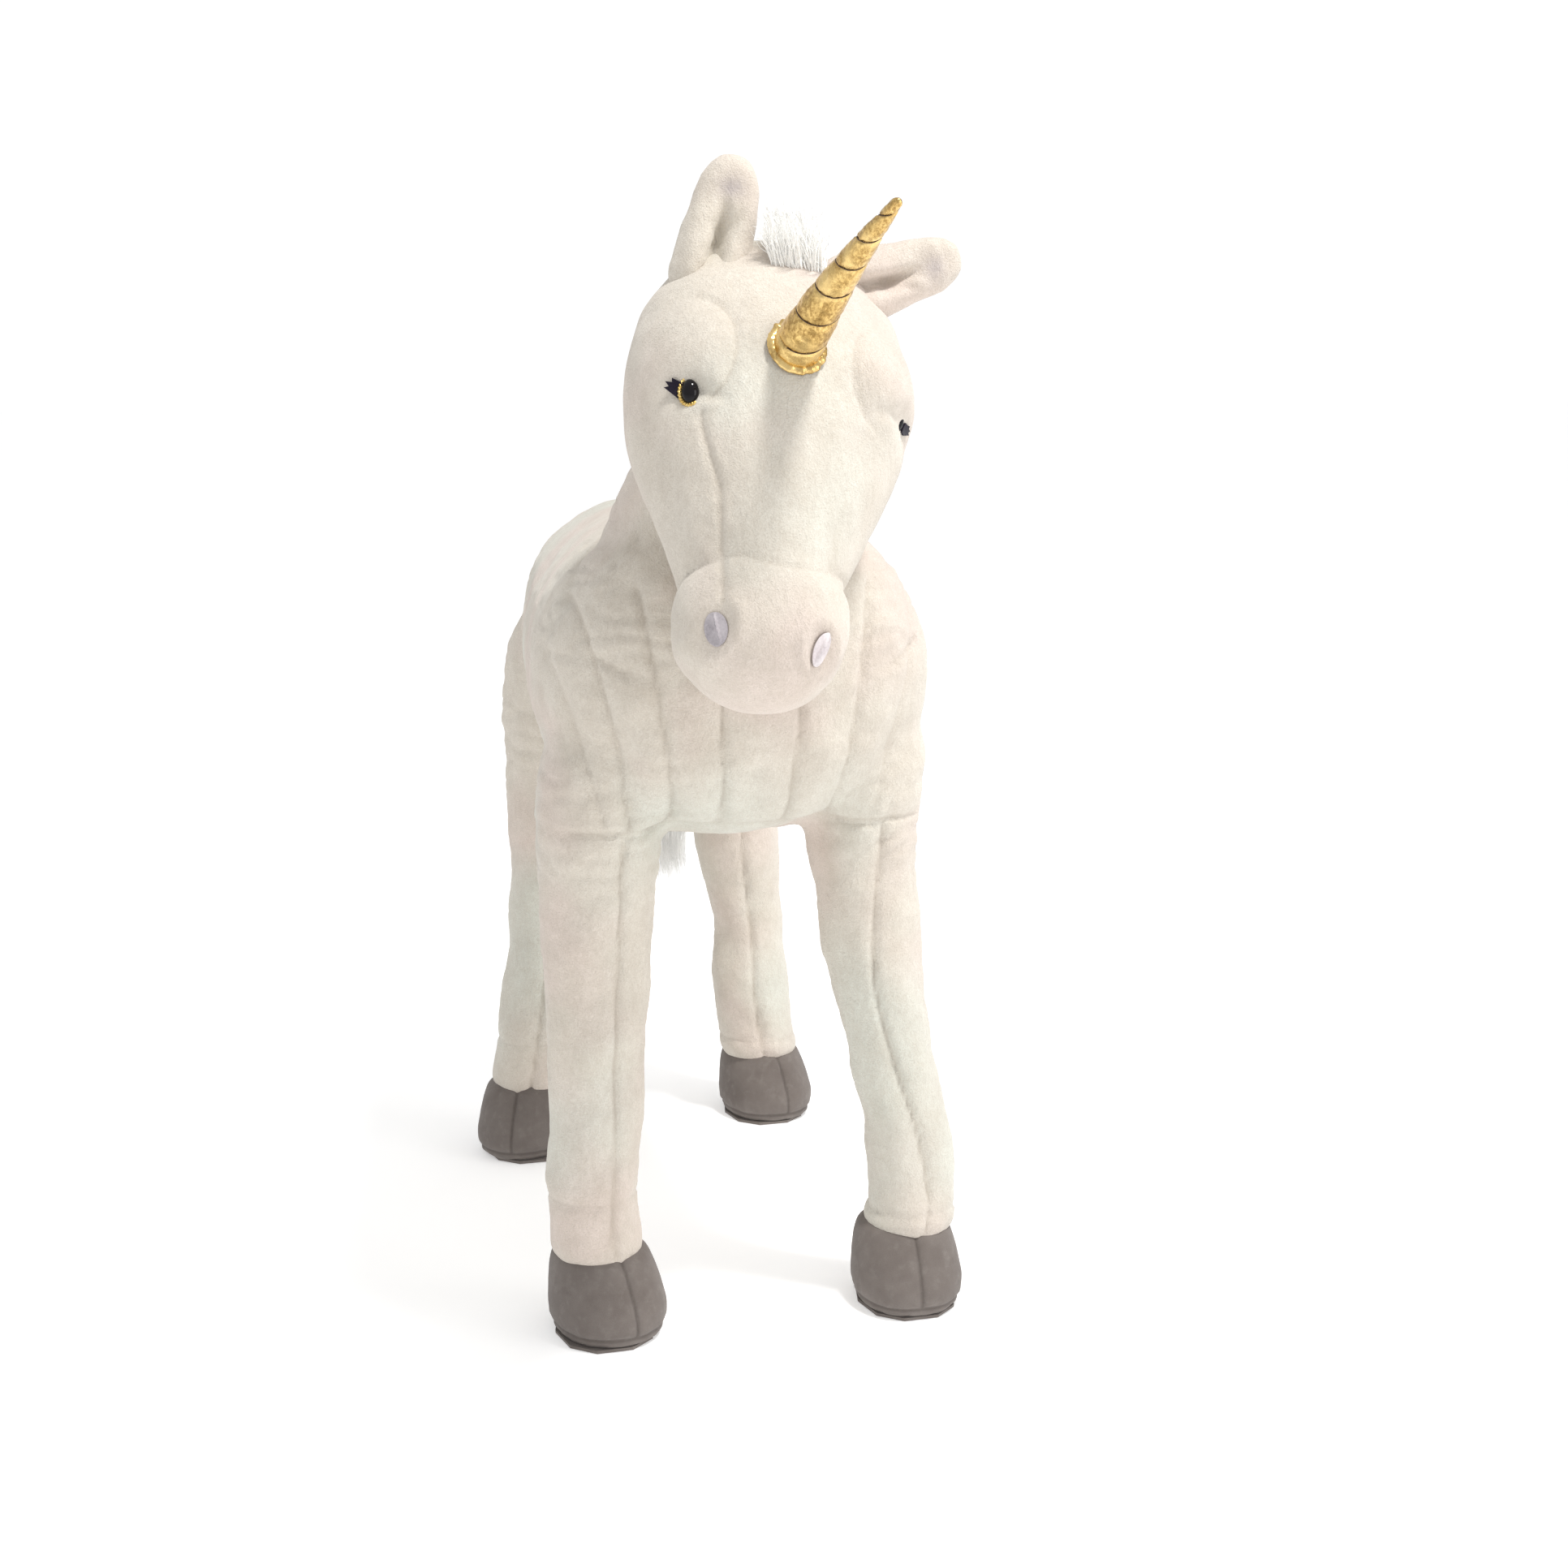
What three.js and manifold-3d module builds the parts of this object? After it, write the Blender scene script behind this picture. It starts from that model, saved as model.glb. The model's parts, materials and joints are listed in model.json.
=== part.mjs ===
// Plush unicorn: a large standing stuffed toy, kept in shape by a frame of bent steel rod.
//
// Millimetres, +Z up. It faces -Y, so +X is its own left side. The group is moved at the end so that the
// origin is the middle of its box, on the floor under the hooves.
//
// Each limb is a fabric cover over stuffing over a steel rod. Where one part of the body turns on another,
// its stuffing ends in a ball that sits in a round socket, and the rods of the two are linked at the middle
// of that ball.
import * as THREE from "three";
import { mergeVertices } from "three/addons/utils/BufferGeometryUtils.js";
import Module from "manifold-3d";

const wasm = await Module();
wasm.setup();

// ---------------------------------------------------------------- driving dimensions, in millimetres
const PILE = 4; // thickness of the plush with its pile
const SUEDE = 2;
const GAP = 0.4; // clearance between two pieces that touch
const PLAY = 1.2; // clearance between a ball and its socket
const ROOMY = 1.07; // how much larger a socket is than its ball

const SHOULDER_HEIGHT = 470; // height of the pivots of all four legs
const SHOULDER_Y = -205;
const HIP_Y = 291;
const LEG_BALL = 56;
const LEG_SWING = 12; // room for each leg to swing forwards and backwards, in degrees
const CUFF_TOP = 144; // heights above the floor
const HOOF_TOP = 68;
const SOLE = 3;

const BAR_RADIUS = 5; // cross bars that the legs hang from
const ROD_RADIUS = 4;
const EYELET_RADIUS = 9.5; // eyelets at the ends of the rods, to the middle of their wire
const EYELET_WIRE = 3;

const NECK_PIVOT = [0, -166, 655];
const NECK_BALL = 104;
const HEAD_PIVOT = [0, -262, 812];
const HEAD_BALL = 72;
const HEAD_TURN = -4; // towards its right, in degrees
const HEAD_TILT = 9; // crown towards its left, in degrees
const HEAD_NOD = 12;
const SKULL = [4, 7, 46]; // middle of the skull, from the pivot of the head
const FACE_SLOPE = 57; // how steeply the head points down, in degrees
const MUZZLE_SEAM = 231; // distance along the head from the middle of the skull
const GUSSET = 46; // half the width of the strip down the face

const EYE_RADIUS = 12.3;
const HORN_LENGTH = 190;
const HORN_RADIUS = 19;
const HORN_TURNS = 6;
const HORN_WAY = [0.139, -0.811, 0.569]; // where the horn points, in the frame of the head
const EAR_LENGTH = 106;
const EAR_BALL = 19;
const EAR_SWING = 42; // how far an ear turns outwards from upright and inwards from lying, in degrees

const TAIL_PIVOT = [0, 352, 610];
const TAIL_BALL = 18;
const TAIL_KNOT = 11; // ball at the end of the dock, which the hair hangs from

// ---------------------------------------------------------------- materials
const finish = (color, roughness, metalness = 0) => new THREE.MeshStandardMaterial({ color, roughness, metalness });
const plush = () => finish(0xece6da, 0.95);
const lining = () => finish(0xd9d3cd, 0.95);
const fur = () => finish(0xf2f0ec, 0.9);
const fibre = () => finish(0xf7f7f5, 1);
const suede = () => finish(0x6f6660, 0.9);
const lame = () => finish(0xd0a650, 0.3, 0.9);
const thread = () => finish(0x4a3020, 0.8);
const steel = () => finish(0x8c8f94, 0.4, 1);
const glossBlack = () => finish(0x060606, 0.08);
const felt = () => finish(0x0a0a10, 0.8);
const satin = () => finish(0xb9b2c4, 0.5);
const plastic = () => finish(0xdad8d2, 0.5);
const board = () => finish(0x5a534e, 0.9);

// ---------------------------------------------------------------- geometry helpers
const vec = (x, y, z) => new THREE.Vector3(x, y, z);
const ORIGIN = vec(0, 0, 0);
const UP = vec(0, 0, 1);
const radians = THREE.MathUtils.degToRad;

/** A closed geometry with its faces turned outwards. */
function outward(geometry) {
  const { position } = geometry.attributes;
  const { array } = geometry.index;
  const [a, b, c] = [vec(), vec(), vec()];
  let volume = 0;
  for (let i = 0; i < array.length; i += 3) {
    a.fromBufferAttribute(position, array[i]);
    b.fromBufferAttribute(position, array[i + 1]);
    c.fromBufferAttribute(position, array[i + 2]);
    volume += a.dot(b.cross(c));
  }
  if (volume < 0) array.reverse();
  geometry.computeVertexNormals();
  return geometry;
}

/** The faces between rows of the same number of points, each row closed on itself. */
function bands(rows, sides, closed) {
  const faces = [];
  for (let i = 0; i < (closed ? rows : rows - 1); i++) {
    const [near, far] = [i * sides, ((i + 1) % rows) * sides];
    for (let j = 0; j < sides; j++) {
      const k = (j + 1) % sides;
      faces.push(near + j, near + k, far + k, near + j, far + k, far + j);
    }
  }
  return faces;
}

/** A closed body through rings of points, with a cap at each end. */
function loft(rings) {
  const sides = rings[0].length;
  const points = rings.flat();
  const faces = bands(rings.length, sides, false);
  for (const [first, turned] of [[0, true], [points.length - sides, false]]) {
    const rim = points.slice(first, first + sides);
    const middle = rim.reduce((sum, p) => sum.addScaledVector(p, 1 / sides), vec(0, 0, 0));
    const centre = points.push(middle) - 1;
    for (let j = 0; j < sides; j++) {
      const pair = [first + j, first + ((j + 1) % sides)];
      faces.push(centre, ...(turned ? pair.reverse() : pair));
    }
  }
  return outward(new THREE.BufferGeometry().setFromPoints(points).setIndex(faces));
}

/** A closed sleeve: out through the outer rings and back through the inner ones. */
function sleeve(outer, inner) {
  const rings = [...outer, ...inner.toReversed()];
  const faces = bands(rings.length, rings[0].length, true);
  return outward(new THREE.BufferGeometry().setFromPoints(rings.flat()).setIndex(faces));
}

/** An oval ring about a point, square to a direction. A squareness over 2 fills out its corners. */
function ring(at, along, half, deep, sides, { under = deep, square = 2 } = {}) {
  const across = vec(1, 0, 0).addScaledVector(along, -along.x).normalize();
  const over = along.clone().cross(across).normalize();
  if (over.z < -1e-6 || (Math.abs(over.z) < 1e-6 && over.y > 0)) over.negate();
  const swell = (value) => Math.sign(value) * Math.abs(value) ** (2 / square);
  return Array.from({ length: sides }, (_, j) => {
    const turn = (j / sides) * 2 * Math.PI;
    const height = Math.sin(turn) < 0 ? under : deep;
    return at
      .clone()
      .addScaledVector(across, swell(Math.cos(turn)) * half)
      .addScaledVector(over, swell(Math.sin(turn)) * height);
  });
}

/** The rings of a ball, between two angles from the direction it is built along. */
const ballRings = (middle, along, radius, angles, sides) =>
  angles.map((angle) => {
    const at = middle.clone().addScaledVector(along, radius * Math.cos(radians(angle)));
    const half = radius * Math.sin(radians(angle));
    return ring(at, along, half, half, sides);
  });

/** A solid for booleans, from a closed geometry. */
function solid(geometry) {
  const bare = new THREE.BufferGeometry().setAttribute("position", geometry.attributes.position);
  const merged = mergeVertices(bare.setIndex(geometry.index), 1e-3);
  const vertProperties = merged.attributes.position.array;
  return new wasm.Manifold(new wasm.Mesh({ numProp: 3, vertProperties, triVerts: new Uint32Array(merged.index.array) }));
}

/** The geometry of a solid. */
function geometryOf(manifold) {
  const { vertProperties, triVerts } = manifold.getMesh();
  const geometry = new THREE.BufferGeometry();
  geometry.setAttribute("position", new THREE.BufferAttribute(vertProperties, 3));
  geometry.setIndex(new THREE.BufferAttribute(triVerts, 1));
  geometry.computeVertexNormals();
  return geometry;
}

const union = (solids) => solids.reduce((sum, next) => sum.add(next));
const ball = (radius, at = ORIGIN, sides = 14) =>
  solid(new THREE.SphereGeometry(radius, sides, sides / 2).translate(at.x, at.y, at.z));
const block = (x, y, z, at = ORIGIN) => solid(new THREE.BoxGeometry(x, y, z).translate(at.x, at.y, at.z));

/** A cylinder along X. */
const barrel = (radius, length, at = ORIGIN, sides = 8) =>
  solid(new THREE.CylinderGeometry(radius, radius, length, sides).rotateZ(Math.PI / 2).translate(at.x, at.y, at.z));

/** An eyelet round the X axis. */
const eyelet = (at = ORIGIN) =>
  solid(new THREE.TorusGeometry(EYELET_RADIUS, EYELET_WIRE, 5, 10).rotateY(Math.PI / 2).translate(at.x, at.y, at.z));

/** The room round an eyelet. */
const eyeletRoom = (at = ORIGIN) => barrel(EYELET_RADIUS + EYELET_WIRE + 2, 2 * EYELET_WIRE + 2, at, 10);

/** A round rod along a smooth line through points. */
function rod(points, radius, steps = 8, sides = 6) {
  const round = new THREE.Shape().absarc(0, 0, radius, 0, 2 * Math.PI);
  const path = new THREE.CatmullRomCurve3(points);
  const options = { steps, extrudePath: path, curveSegments: sides / 2, bevelEnabled: false };
  return solid(indexed(new THREE.ExtrudeGeometry(round, options)));
}

/** The same geometry with its vertices shared and its collapsed faces left out. */
function indexed(geometry) {
  const merged = mergeVertices(geometry.deleteAttribute("normal").deleteAttribute("uv"), 1e-3);
  const corners = Array.from(merged.index.array);
  const faces = [];
  for (let i = 0; i < corners.length; i += 3) {
    const face = corners.slice(i, i + 3);
    if (new Set(face).size === 3) faces.push(...face);
  }
  return merged.setIndex(faces);
}

/** A body of revolution about Z, from [radius, height] points. */
function turned(profile, sides = 12) {
  const points = profile.map(([radius, height]) => new THREE.Vector2(radius, height));
  return outward(indexed(new THREE.LatheGeometry(points, sides).rotateX(Math.PI / 2)));
}

/** A group at a point, with its own frame. */
function frameAt(at, parent) {
  const group = new THREE.Group();
  group.position.copy(at);
  parent.add(group);
  return group;
}

/** Adds a mesh made of a geometry or a solid. */
function add(group, name, body, material) {
  const made = new THREE.Mesh(body.isBufferGeometry ? body : geometryOf(body), material());
  made.name = name;
  group.add(made);
}

const unicorn = new THREE.Group();

// ---------------------------------------------------------------- legs
// Rows of a path are [height above the floor, x, y] of the middle of the leg.
const LEG_SIDES = 10;
const legs = [
  {
    name: "front_right",
    girth: 1.03,
    path: [[470, -124, SHOULDER_Y], [400, -128, -205], [250, -131, -206], [100, -135, -207], [0, -130, -206]],
  },
  {
    name: "front_left",
    girth: 0.94,
    path: [[470, 106, SHOULDER_Y], [400, 108, -207], [310, 120, -209], [160, 150, -212], [100, 154, -213], [0, 146, -213]],
  },
  {
    name: "hind_right",
    girth: 0.98,
    path: [[470, -82, HIP_Y], [380, -86, 286], [280, -93, 280], [200, -103, 272], [100, -120, 262], [0, -130, 256]],
  },
  {
    name: "hind_left",
    girth: 0.98,
    path: [[470, 112, HIP_Y], [380, 114, 292], [310, 118, 294], [210, 128, 298], [100, 138, 302], [0, 146, 305]],
  },
];
const LEG_ROWS = [[424, 50], [330, 45], [230, 40], [CUFF_TOP, 40]]; // height, radius
const CUFF_ROWS = [[CUFF_TOP - GAP, 40], [HOOF_TOP, 42]];
const HOOF_ROWS = [[HOOF_TOP - GAP, 43, 45, 0], [42, 48, 55, -7], [14, 50, 60, -12], [SOLE, 44, 53, -12]];
const LEG_BALL_ANGLES = [25, 58, 90];

/** The middle of a leg at a height above the floor, seen from the leg's pivot. */
function legMiddle({ path }, height) {
  const i = Math.max(path.findIndex(([low]) => low <= height), 1);
  const [[z0, x0, y0], [z1, x1, y1]] = [path[i - 1], path[i]];
  const share = (z0 - height) / (z0 - z1);
  const [x, y] = [THREE.MathUtils.lerp(x0, x1, share), THREE.MathUtils.lerp(y0, y1, share)];
  return vec(x - path[0][1], y - path[0][2], height - SHOULDER_HEIGHT);
}

const legRings = (leg, rows, inset) =>
  rows.map(([height, radius]) => {
    const half = radius * leg.girth - inset;
    return ring(legMiddle(leg, height), UP, half, half, LEG_SIDES);
  });
const hoofRings = (leg, rows, inset) =>
  rows.map(([height, half, deep, forward]) =>
    ring(legMiddle(leg, height).add(vec(0, forward, 0)), UP, half - inset, deep - inset, LEG_SIDES, { square: 2.3 }),
  );
const legTop = (radius) => ballRings(ORIGIN, UP, radius, LEG_BALL_ANGLES, LEG_SIDES);

for (const leg of legs) {
  const [, x, y] = leg.path[0];
  leg.pivot = vec(x, y, SHOULDER_HEIGHT);
  const group = frameAt(leg.pivot, unicorn);
  const part = (name, body, material) => add(group, `${leg.name}_${name}`, body, material);
  const inwards = -Math.sign(x) * (LEG_BALL + BAR_RADIUS) * 0.5;
  const barRoom = barrel(BAR_RADIUS + 1, 2 * Math.abs(inwards), vec(inwards, 0, 0));

  const outer = [...legTop(LEG_BALL), ...legRings(leg, LEG_ROWS, 0)];
  const inner = [...legTop(LEG_BALL - PILE), ...legRings(leg, LEG_ROWS, PILE)];
  part("leg_cover", solid(loft([...outer, ...inner.toReversed()])).subtract(barRoom), plush);
  part("cuff", sleeve(legRings(leg, CUFF_ROWS, 0), legRings(leg, CUFF_ROWS, PILE)), plush);
  part("hoof_cover", sleeve(hoofRings(leg, HOOF_ROWS, 0), hoofRings(leg, HOOF_ROWS, SUEDE)), suede);
  const [, half, deep, forward] = HOOF_ROWS.at(-1);
  part("sole", loft(hoofRings(leg, [[SOLE - GAP, half, deep, forward], [0, half, deep, forward]], 0)), board);

  const line = [SHOULDER_HEIGHT - EYELET_RADIUS, 400, 250, 120, 40, 20].map((height) => legMiddle(leg, height));
  line[0].set(0, 0, -EYELET_RADIUS);
  line.at(-1).add(vec(0, -26, 0));
  part("leg_rod", rod(line, ROD_RADIUS, 7).add(eyelet()), steel);
  const body = loft([
    ...legTop(LEG_BALL - PILE - GAP),
    ...legRings(leg, [...LEG_ROWS, ...CUFF_ROWS.slice(1)], PILE + GAP),
    ...hoofRings(leg, HOOF_ROWS.slice(1), SUEDE + GAP),
  ]);
  part("leg_stuffing", solid(body).subtract(union([rod(line, ROD_RADIUS + GAP, 7), eyeletRoom(), barRoom])), fibre);
}

// ---------------------------------------------------------------- neck
// The lower ball turns in the torso about the line of the neck, the upper one carries the head.
const NECK_SIDES = 14;
const neckPivot = vec(...NECK_PIVOT);
const headPivot = vec(...HEAD_PIVOT);
const neckLine = headPivot.clone().sub(neckPivot);
const neckLength = neckLine.length();
const neckWay = neckLine.clone().normalize();
const alongNeck = (distance) => neckWay.clone().multiplyScalar(distance);
const uprightToNeck = new THREE.Quaternion().setFromUnitVectors(UP, neckWay);
const neck = frameAt(neckPivot, unicorn);

const NECK_ROWS = [[0, 104], [50, 100], [92, 90], [126, 79]]; // distance up the neck, radius
const neckTube = (inset) => NECK_ROWS.map(([far, radius]) => ring(alongNeck(far), neckWay, radius - inset, radius - inset, NECK_SIDES));
add(neck, "neck_cover", sleeve(neckTube(0), neckTube(PILE)), plush);

// A steel tube turns on the post of the frame and ends in the cross pin of the head.
const TUBE = [BAR_RADIUS + 0.9, BAR_RADIUS + 3.4];
const POST_END = neckLength - 34;
const [bore, wall] = TUBE;
const tubeProfile = [[bore, -70], [wall, -70], [wall, neckLength - 4], [0, neckLength - 4], [0, POST_END + 1], [bore, POST_END + 1], [bore, -70]];
const PIN_LENGTH = 62;
const neckTubeBody = solid(turned(tubeProfile, 12).applyQuaternion(uprightToNeck));
add(neck, "neck_tube", neckTubeBody.add(barrel(BAR_RADIUS, PIN_LENGTH, neckLine)), steel);

const upperBall = ballRings(neckLine, neckWay, HEAD_BALL, [100, 72, 44, 16], NECK_SIDES);
const lowerBall = ballRings(ORIGIN, neckWay, NECK_BALL, [160, 135, 110], NECK_SIDES);
const neckCore = solid(loft([...lowerBall, ...neckTube(PILE + GAP), ...upperBall]));
const boreOut = new THREE.CylinderGeometry(wall + 0.8, wall + 0.8, neckLength + 130, 12).rotateX(Math.PI / 2);
const tubeRoom = solid(boreOut.translate(0, 0, neckLength / 2 - 60).applyQuaternion(uprightToNeck));
const pocket = union([
  barrel(31, PIN_LENGTH + 6, neckLine, 12),
  solid(new THREE.BoxGeometry(PIN_LENGTH + 6, 60, 90).translate(0, 0, neckLength + 45).applyQuaternion(uprightToNeck)),
]);
add(neck, "neck_stuffing", neckCore.subtract(tubeRoom).subtract(pocket), fibre);

// The mane is a strip of long fur along the crest of the neck.
const crest = vec(1, 0, 0).cross(neckWay).negate().normalize();
const MANE_ROWS = [[44, 6, 5, 105], [56, 17, 18, 100], [78, 21, 24, 95], [100, 20, 24, 89], [120, 14, 17, 83], [130, 5, 5, 80]];
const maneRings = MANE_ROWS.map(([far, half, tall, clear]) =>
  ring(alongNeck(far).addScaledVector(crest, clear + tall), neckWay, half, tall, 12),
);
add(neck, "neck_mane", loft(maneRings), fur);

// ---------------------------------------------------------------- tail
// A short dock swings up from the rump, and the hair swings from side to side on its end.
const tailPivot = vec(...TAIL_PIVOT);
const tail = frameAt(tailPivot, unicorn);
const knot = vec(0, 36, -20);
const DOCK_LINE = [ORIGIN, vec(0, 22, -4), knot];
add(tail, "tail_dock", union([ball(TAIL_BALL, ORIGIN, 10), rod(DOCK_LINE, 8, 3), ball(TAIL_KNOT, knot, 10)]), plush);
// Rows are [distance below the knot, radius, backwards].
const HAIR_ROWS = [[-2, 15, 0], [14, 20, 1], [50, 29, 3], [110, 37, 4], [190, 40, 2], [260, 33, -2], [310, 21, -5], [338, 6, -7]];
const hairRings = HAIR_ROWS.map(([down, radius, back]) => ring(knot.clone().add(vec(0, back, -down)), UP, radius, radius * 0.8, 10));
add(tail, "tail_hair", solid(loft(hairRings)).subtract(ball(TAIL_KNOT + PLAY, knot, 12)).subtract(rod(DOCK_LINE, 10.5, 4)), fur);

// ---------------------------------------------------------------- torso
// Rows are [y, x, height of the middle, half width, half height over, half height under], from rump to chest.
const TORSO_SIDES = 16;
const TORSO_ROWS = [
  [362, 8, 592, 22, 26, 24], [354, 8, 588, 66, 62, 78], [330, 9, 580, 104, 98, 124], [290, 10, 573, 126, 124, 130],
  [225, 9, 569, 138, 132, 134], [110, 6, 567, 154, 139, 134], [-20, 1, 566, 167, 145, 132],
  [-140, -2, 566, 176, 151, 130], [-205, -3, 570, 173, 147, 128], [-248, -3, 577, 151, 130, 125],
  [-278, -4, 585, 116, 100, 106], [-296, -5, 591, 70, 64, 70], [-303, -6, 594, 24, 24, 26],
];
const lengthwise = vec(0, 1, 0);
const torsoBody = (inset) =>
  solid(
    loft(
      TORSO_ROWS.map(([y, x, z, half, over, under]) =>
        ring(vec(x, y, z), lengthwise, half - inset, over - inset, TORSO_SIDES, { under: under - inset, square: y > 0 ? 2.1 : 2.3 }),
      ),
    ),
  );

/** A solid at both ends and in the middle of a swing, in degrees about X, Y and Z. */
const swept = (body, from, to) =>
  union([0, 0.5, 1].map((share) => body.rotate(from.map((angle, i) => THREE.MathUtils.lerp(angle, to[i], share)))));

const sockets = [ball(NECK_BALL * ROOMY, neckPivot), ball(TAIL_BALL * ROOMY + PLAY, tailPivot, 10)];
sockets.push(swept(rod([ORIGIN, vec(0, 22, -4), knot], 11, 3), [0, 0, 0], [42, 0, 0]).translate(TAIL_PIVOT));
const collar = [[20, NECK_BALL + PLAY], [80, NECK_BALL + 1], [150, NECK_BALL - 8]];
sockets.push(solid(loft(collar.map(([far, radius]) => ring(alongNeck(far).add(neckPivot), neckWay, radius, radius, NECK_SIDES)))));
for (const leg of legs) {
  const stub = solid(loft(legRings(leg, [[470, 54], [424, 53], [360, 51]], -1)));
  sockets.push(ball(LEG_BALL * ROOMY, leg.pivot, 12));
  sockets.push(swept(stub, [-LEG_SWING, 0, 0], [LEG_SWING, 0, 0]).translate(leg.pivot.toArray()));
}
const openings = union(sockets);

// The frame: cross bars for the legs, a spine between them and a post for the neck, welded together.
const barBetween = (a, b) => {
  const past = 2 * EYELET_WIRE - 2.5;
  const middle = a.pivot.clone().add(b.pivot).multiplyScalar(0.5);
  return [barrel(BAR_RADIUS, a.pivot.distanceTo(b.pivot) + past, middle), barrel(BAR_RADIUS + 1, a.pivot.distanceTo(b.pivot), middle)];
};
const [frontRight, frontLeft, hindRight, hindLeft] = legs;
const spine = [vec(-5, SHOULDER_Y, 470), vec(-5, SHOULDER_Y + 60, 500), vec(-3, 40, 530), vec(0, HIP_Y - 90, 510), vec(0, HIP_Y, 470)];
const straight = [POST_END, 40, -40, -90, -104].map((far) => alongNeck(far).add(neckPivot));
const post = [...straight, vec(-5, -86, 505)];
const bars = [barBetween(frontRight, frontLeft), barBetween(hindRight, hindLeft)];
const frameBody = union([...bars.map(([bar]) => bar), rod(spine, BAR_RADIUS, 8), rod(post, BAR_RADIUS, 8, 8)]);
const frameRoom = union([...bars.map(([, room]) => room), rod(spine, BAR_RADIUS + GAP, 8), rod(post, BAR_RADIUS + GAP, 8, 8)]);
add(unicorn, "steel_frame", frameBody, steel);
add(unicorn, "torso_stuffing", torsoBody(PILE + GAP).subtract(openings).subtract(frameRoom), fibre);

// The cover is sewn from a strip down the chest and under the belly, and a flank on either side.
const CHEST_STRIP = 60;
const STRIP_TOP = 588;
const torsoCover = torsoBody(0).subtract(torsoBody(PILE)).subtract(openings);
const stripAt = (width, top) => block(width, 1000, top, vec(-8, 0, top / 2));
const flank = (side) => block(400, 1000, 1000, vec(-8 + side * (200 + GAP / 2), 0, 500)).subtract(stripAt(CHEST_STRIP + GAP, STRIP_TOP + GAP));
add(unicorn, "chest_strip", torsoCover.intersect(stripAt(CHEST_STRIP, STRIP_TOP)), plush);
add(unicorn, "flank_right", torsoCover.intersect(flank(-1)), plush);
add(unicorn, "flank_left", torsoCover.intersect(flank(1)), plush);

// ---------------------------------------------------------------- head
// Rows are [distance along the head from the middle of the skull, half width, half depth].
const HEAD_SIDES = 16;
const HEAD_ROWS = [
  [-80, 12, 9], [-71, 46, 32], [-45, 79, 54], [-5, 107, 75], [55, 116, 85], [110, 108, 80], [172, 88, 69],
  [MUZZLE_SEAM, 69, 60], [262, 67, 58], [290, 61, 53], [313, 42, 37], [326, 12, 11],
];
const head = frameAt(headPivot, unicorn);
head.rotation.set(0, radians(HEAD_TILT), radians(HEAD_TURN), "ZYX");
head.updateMatrix();
const skull = vec(...SKULL);
const faceWay = vec(0, -Math.cos(radians(FACE_SLOPE)), -Math.sin(radians(FACE_SLOPE)));
const browWay = vec(0, -Math.sin(radians(FACE_SLOPE)), Math.cos(radians(FACE_SLOPE)));
const headRings = (rows, inset) =>
  rows.map(([along, half, deep]) =>
    ring(skull.clone().addScaledVector(faceWay, along), faceWay, half - inset, deep - inset, HEAD_SIDES),
  );

/** A point on the head, by distance along it and angle round it, where 90 degrees is the brow. */
function headPoint(along, angle) {
  const i = HEAD_ROWS.findIndex(([far]) => far > along);
  const [[s0, a0, b0], [s1, a1, b1]] = [HEAD_ROWS[i - 1], HEAD_ROWS[i]];
  const share = (along - s0) / (s1 - s0);
  const half = THREE.MathUtils.lerp(a0, a1, share) * Math.cos(radians(angle));
  const deep = THREE.MathUtils.lerp(b0, b1, share) * Math.sin(radians(angle));
  return skull.clone().addScaledVector(faceWay, along).addScaledVector(browWay, deep).add(vec(half, 0, 0));
}

/** A frame on the head whose Z leaves the surface. */
function onHead(along, angle, sink) {
  const at = headPoint(along, angle);
  const across = headPoint(along, angle + 1).sub(at);
  const normal = headPoint(along + 2, angle).sub(at).cross(across).normalize();
  if (normal.dot(at.clone().sub(skull).addScaledVector(faceWay, -along)) < 0) normal.negate();
  const group = frameAt(at.addScaledVector(normal, -sink), head);
  group.quaternion.setFromUnitVectors(UP, normal);
  group.updateMatrix();
  return group;
}

/** A solid of a frame on the head, seen from the head. */
const inHead = (group, body) => body.transform(group.matrix.elements);

// The bracket hooks the head on the cross pin of the neck. It isn't turned with the face.
const headBack = head.matrix.clone().invert();
const bracketFrame = frameAt(headPivot, unicorn);
bracketFrame.quaternion.copy(uprightToNeck);
bracketFrame.updateMatrix();
const EYELETS_AT = 19;
const hook = [-1, -0.9, 0, 0.9, 1].map((side) => vec(side * EYELETS_AT, 0, EYELET_RADIUS + 78 * (1 - Math.abs(side) ** 3)));
const eyeletPlaces = [vec(-EYELETS_AT, 0, 0), vec(EYELETS_AT, 0, 0)];
add(bracketFrame, "head_bracket", union([rod(hook, EYELET_WIRE, 8), ...eyeletPlaces.map(eyelet)]), steel);
const bracketRoom = rod(hook, EYELET_WIRE + 0.8, 8).transform(bracketFrame.matrix.elements).transform(headBack.elements);

const headCuts = [ball(HEAD_BALL * ROOMY), bracketRoom];
const throatRows = [[-10, HEAD_BALL + 6], [-60, 92], [-150, 118]];
const neckBack = neckWay.clone().transformDirection(headBack);
const throat = solid(loft(throatRows.map(([far, radius]) => ring(neckBack.clone().multiplyScalar(far), neckBack, radius, radius, NECK_SIDES))));
headCuts.push(throat);

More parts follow.
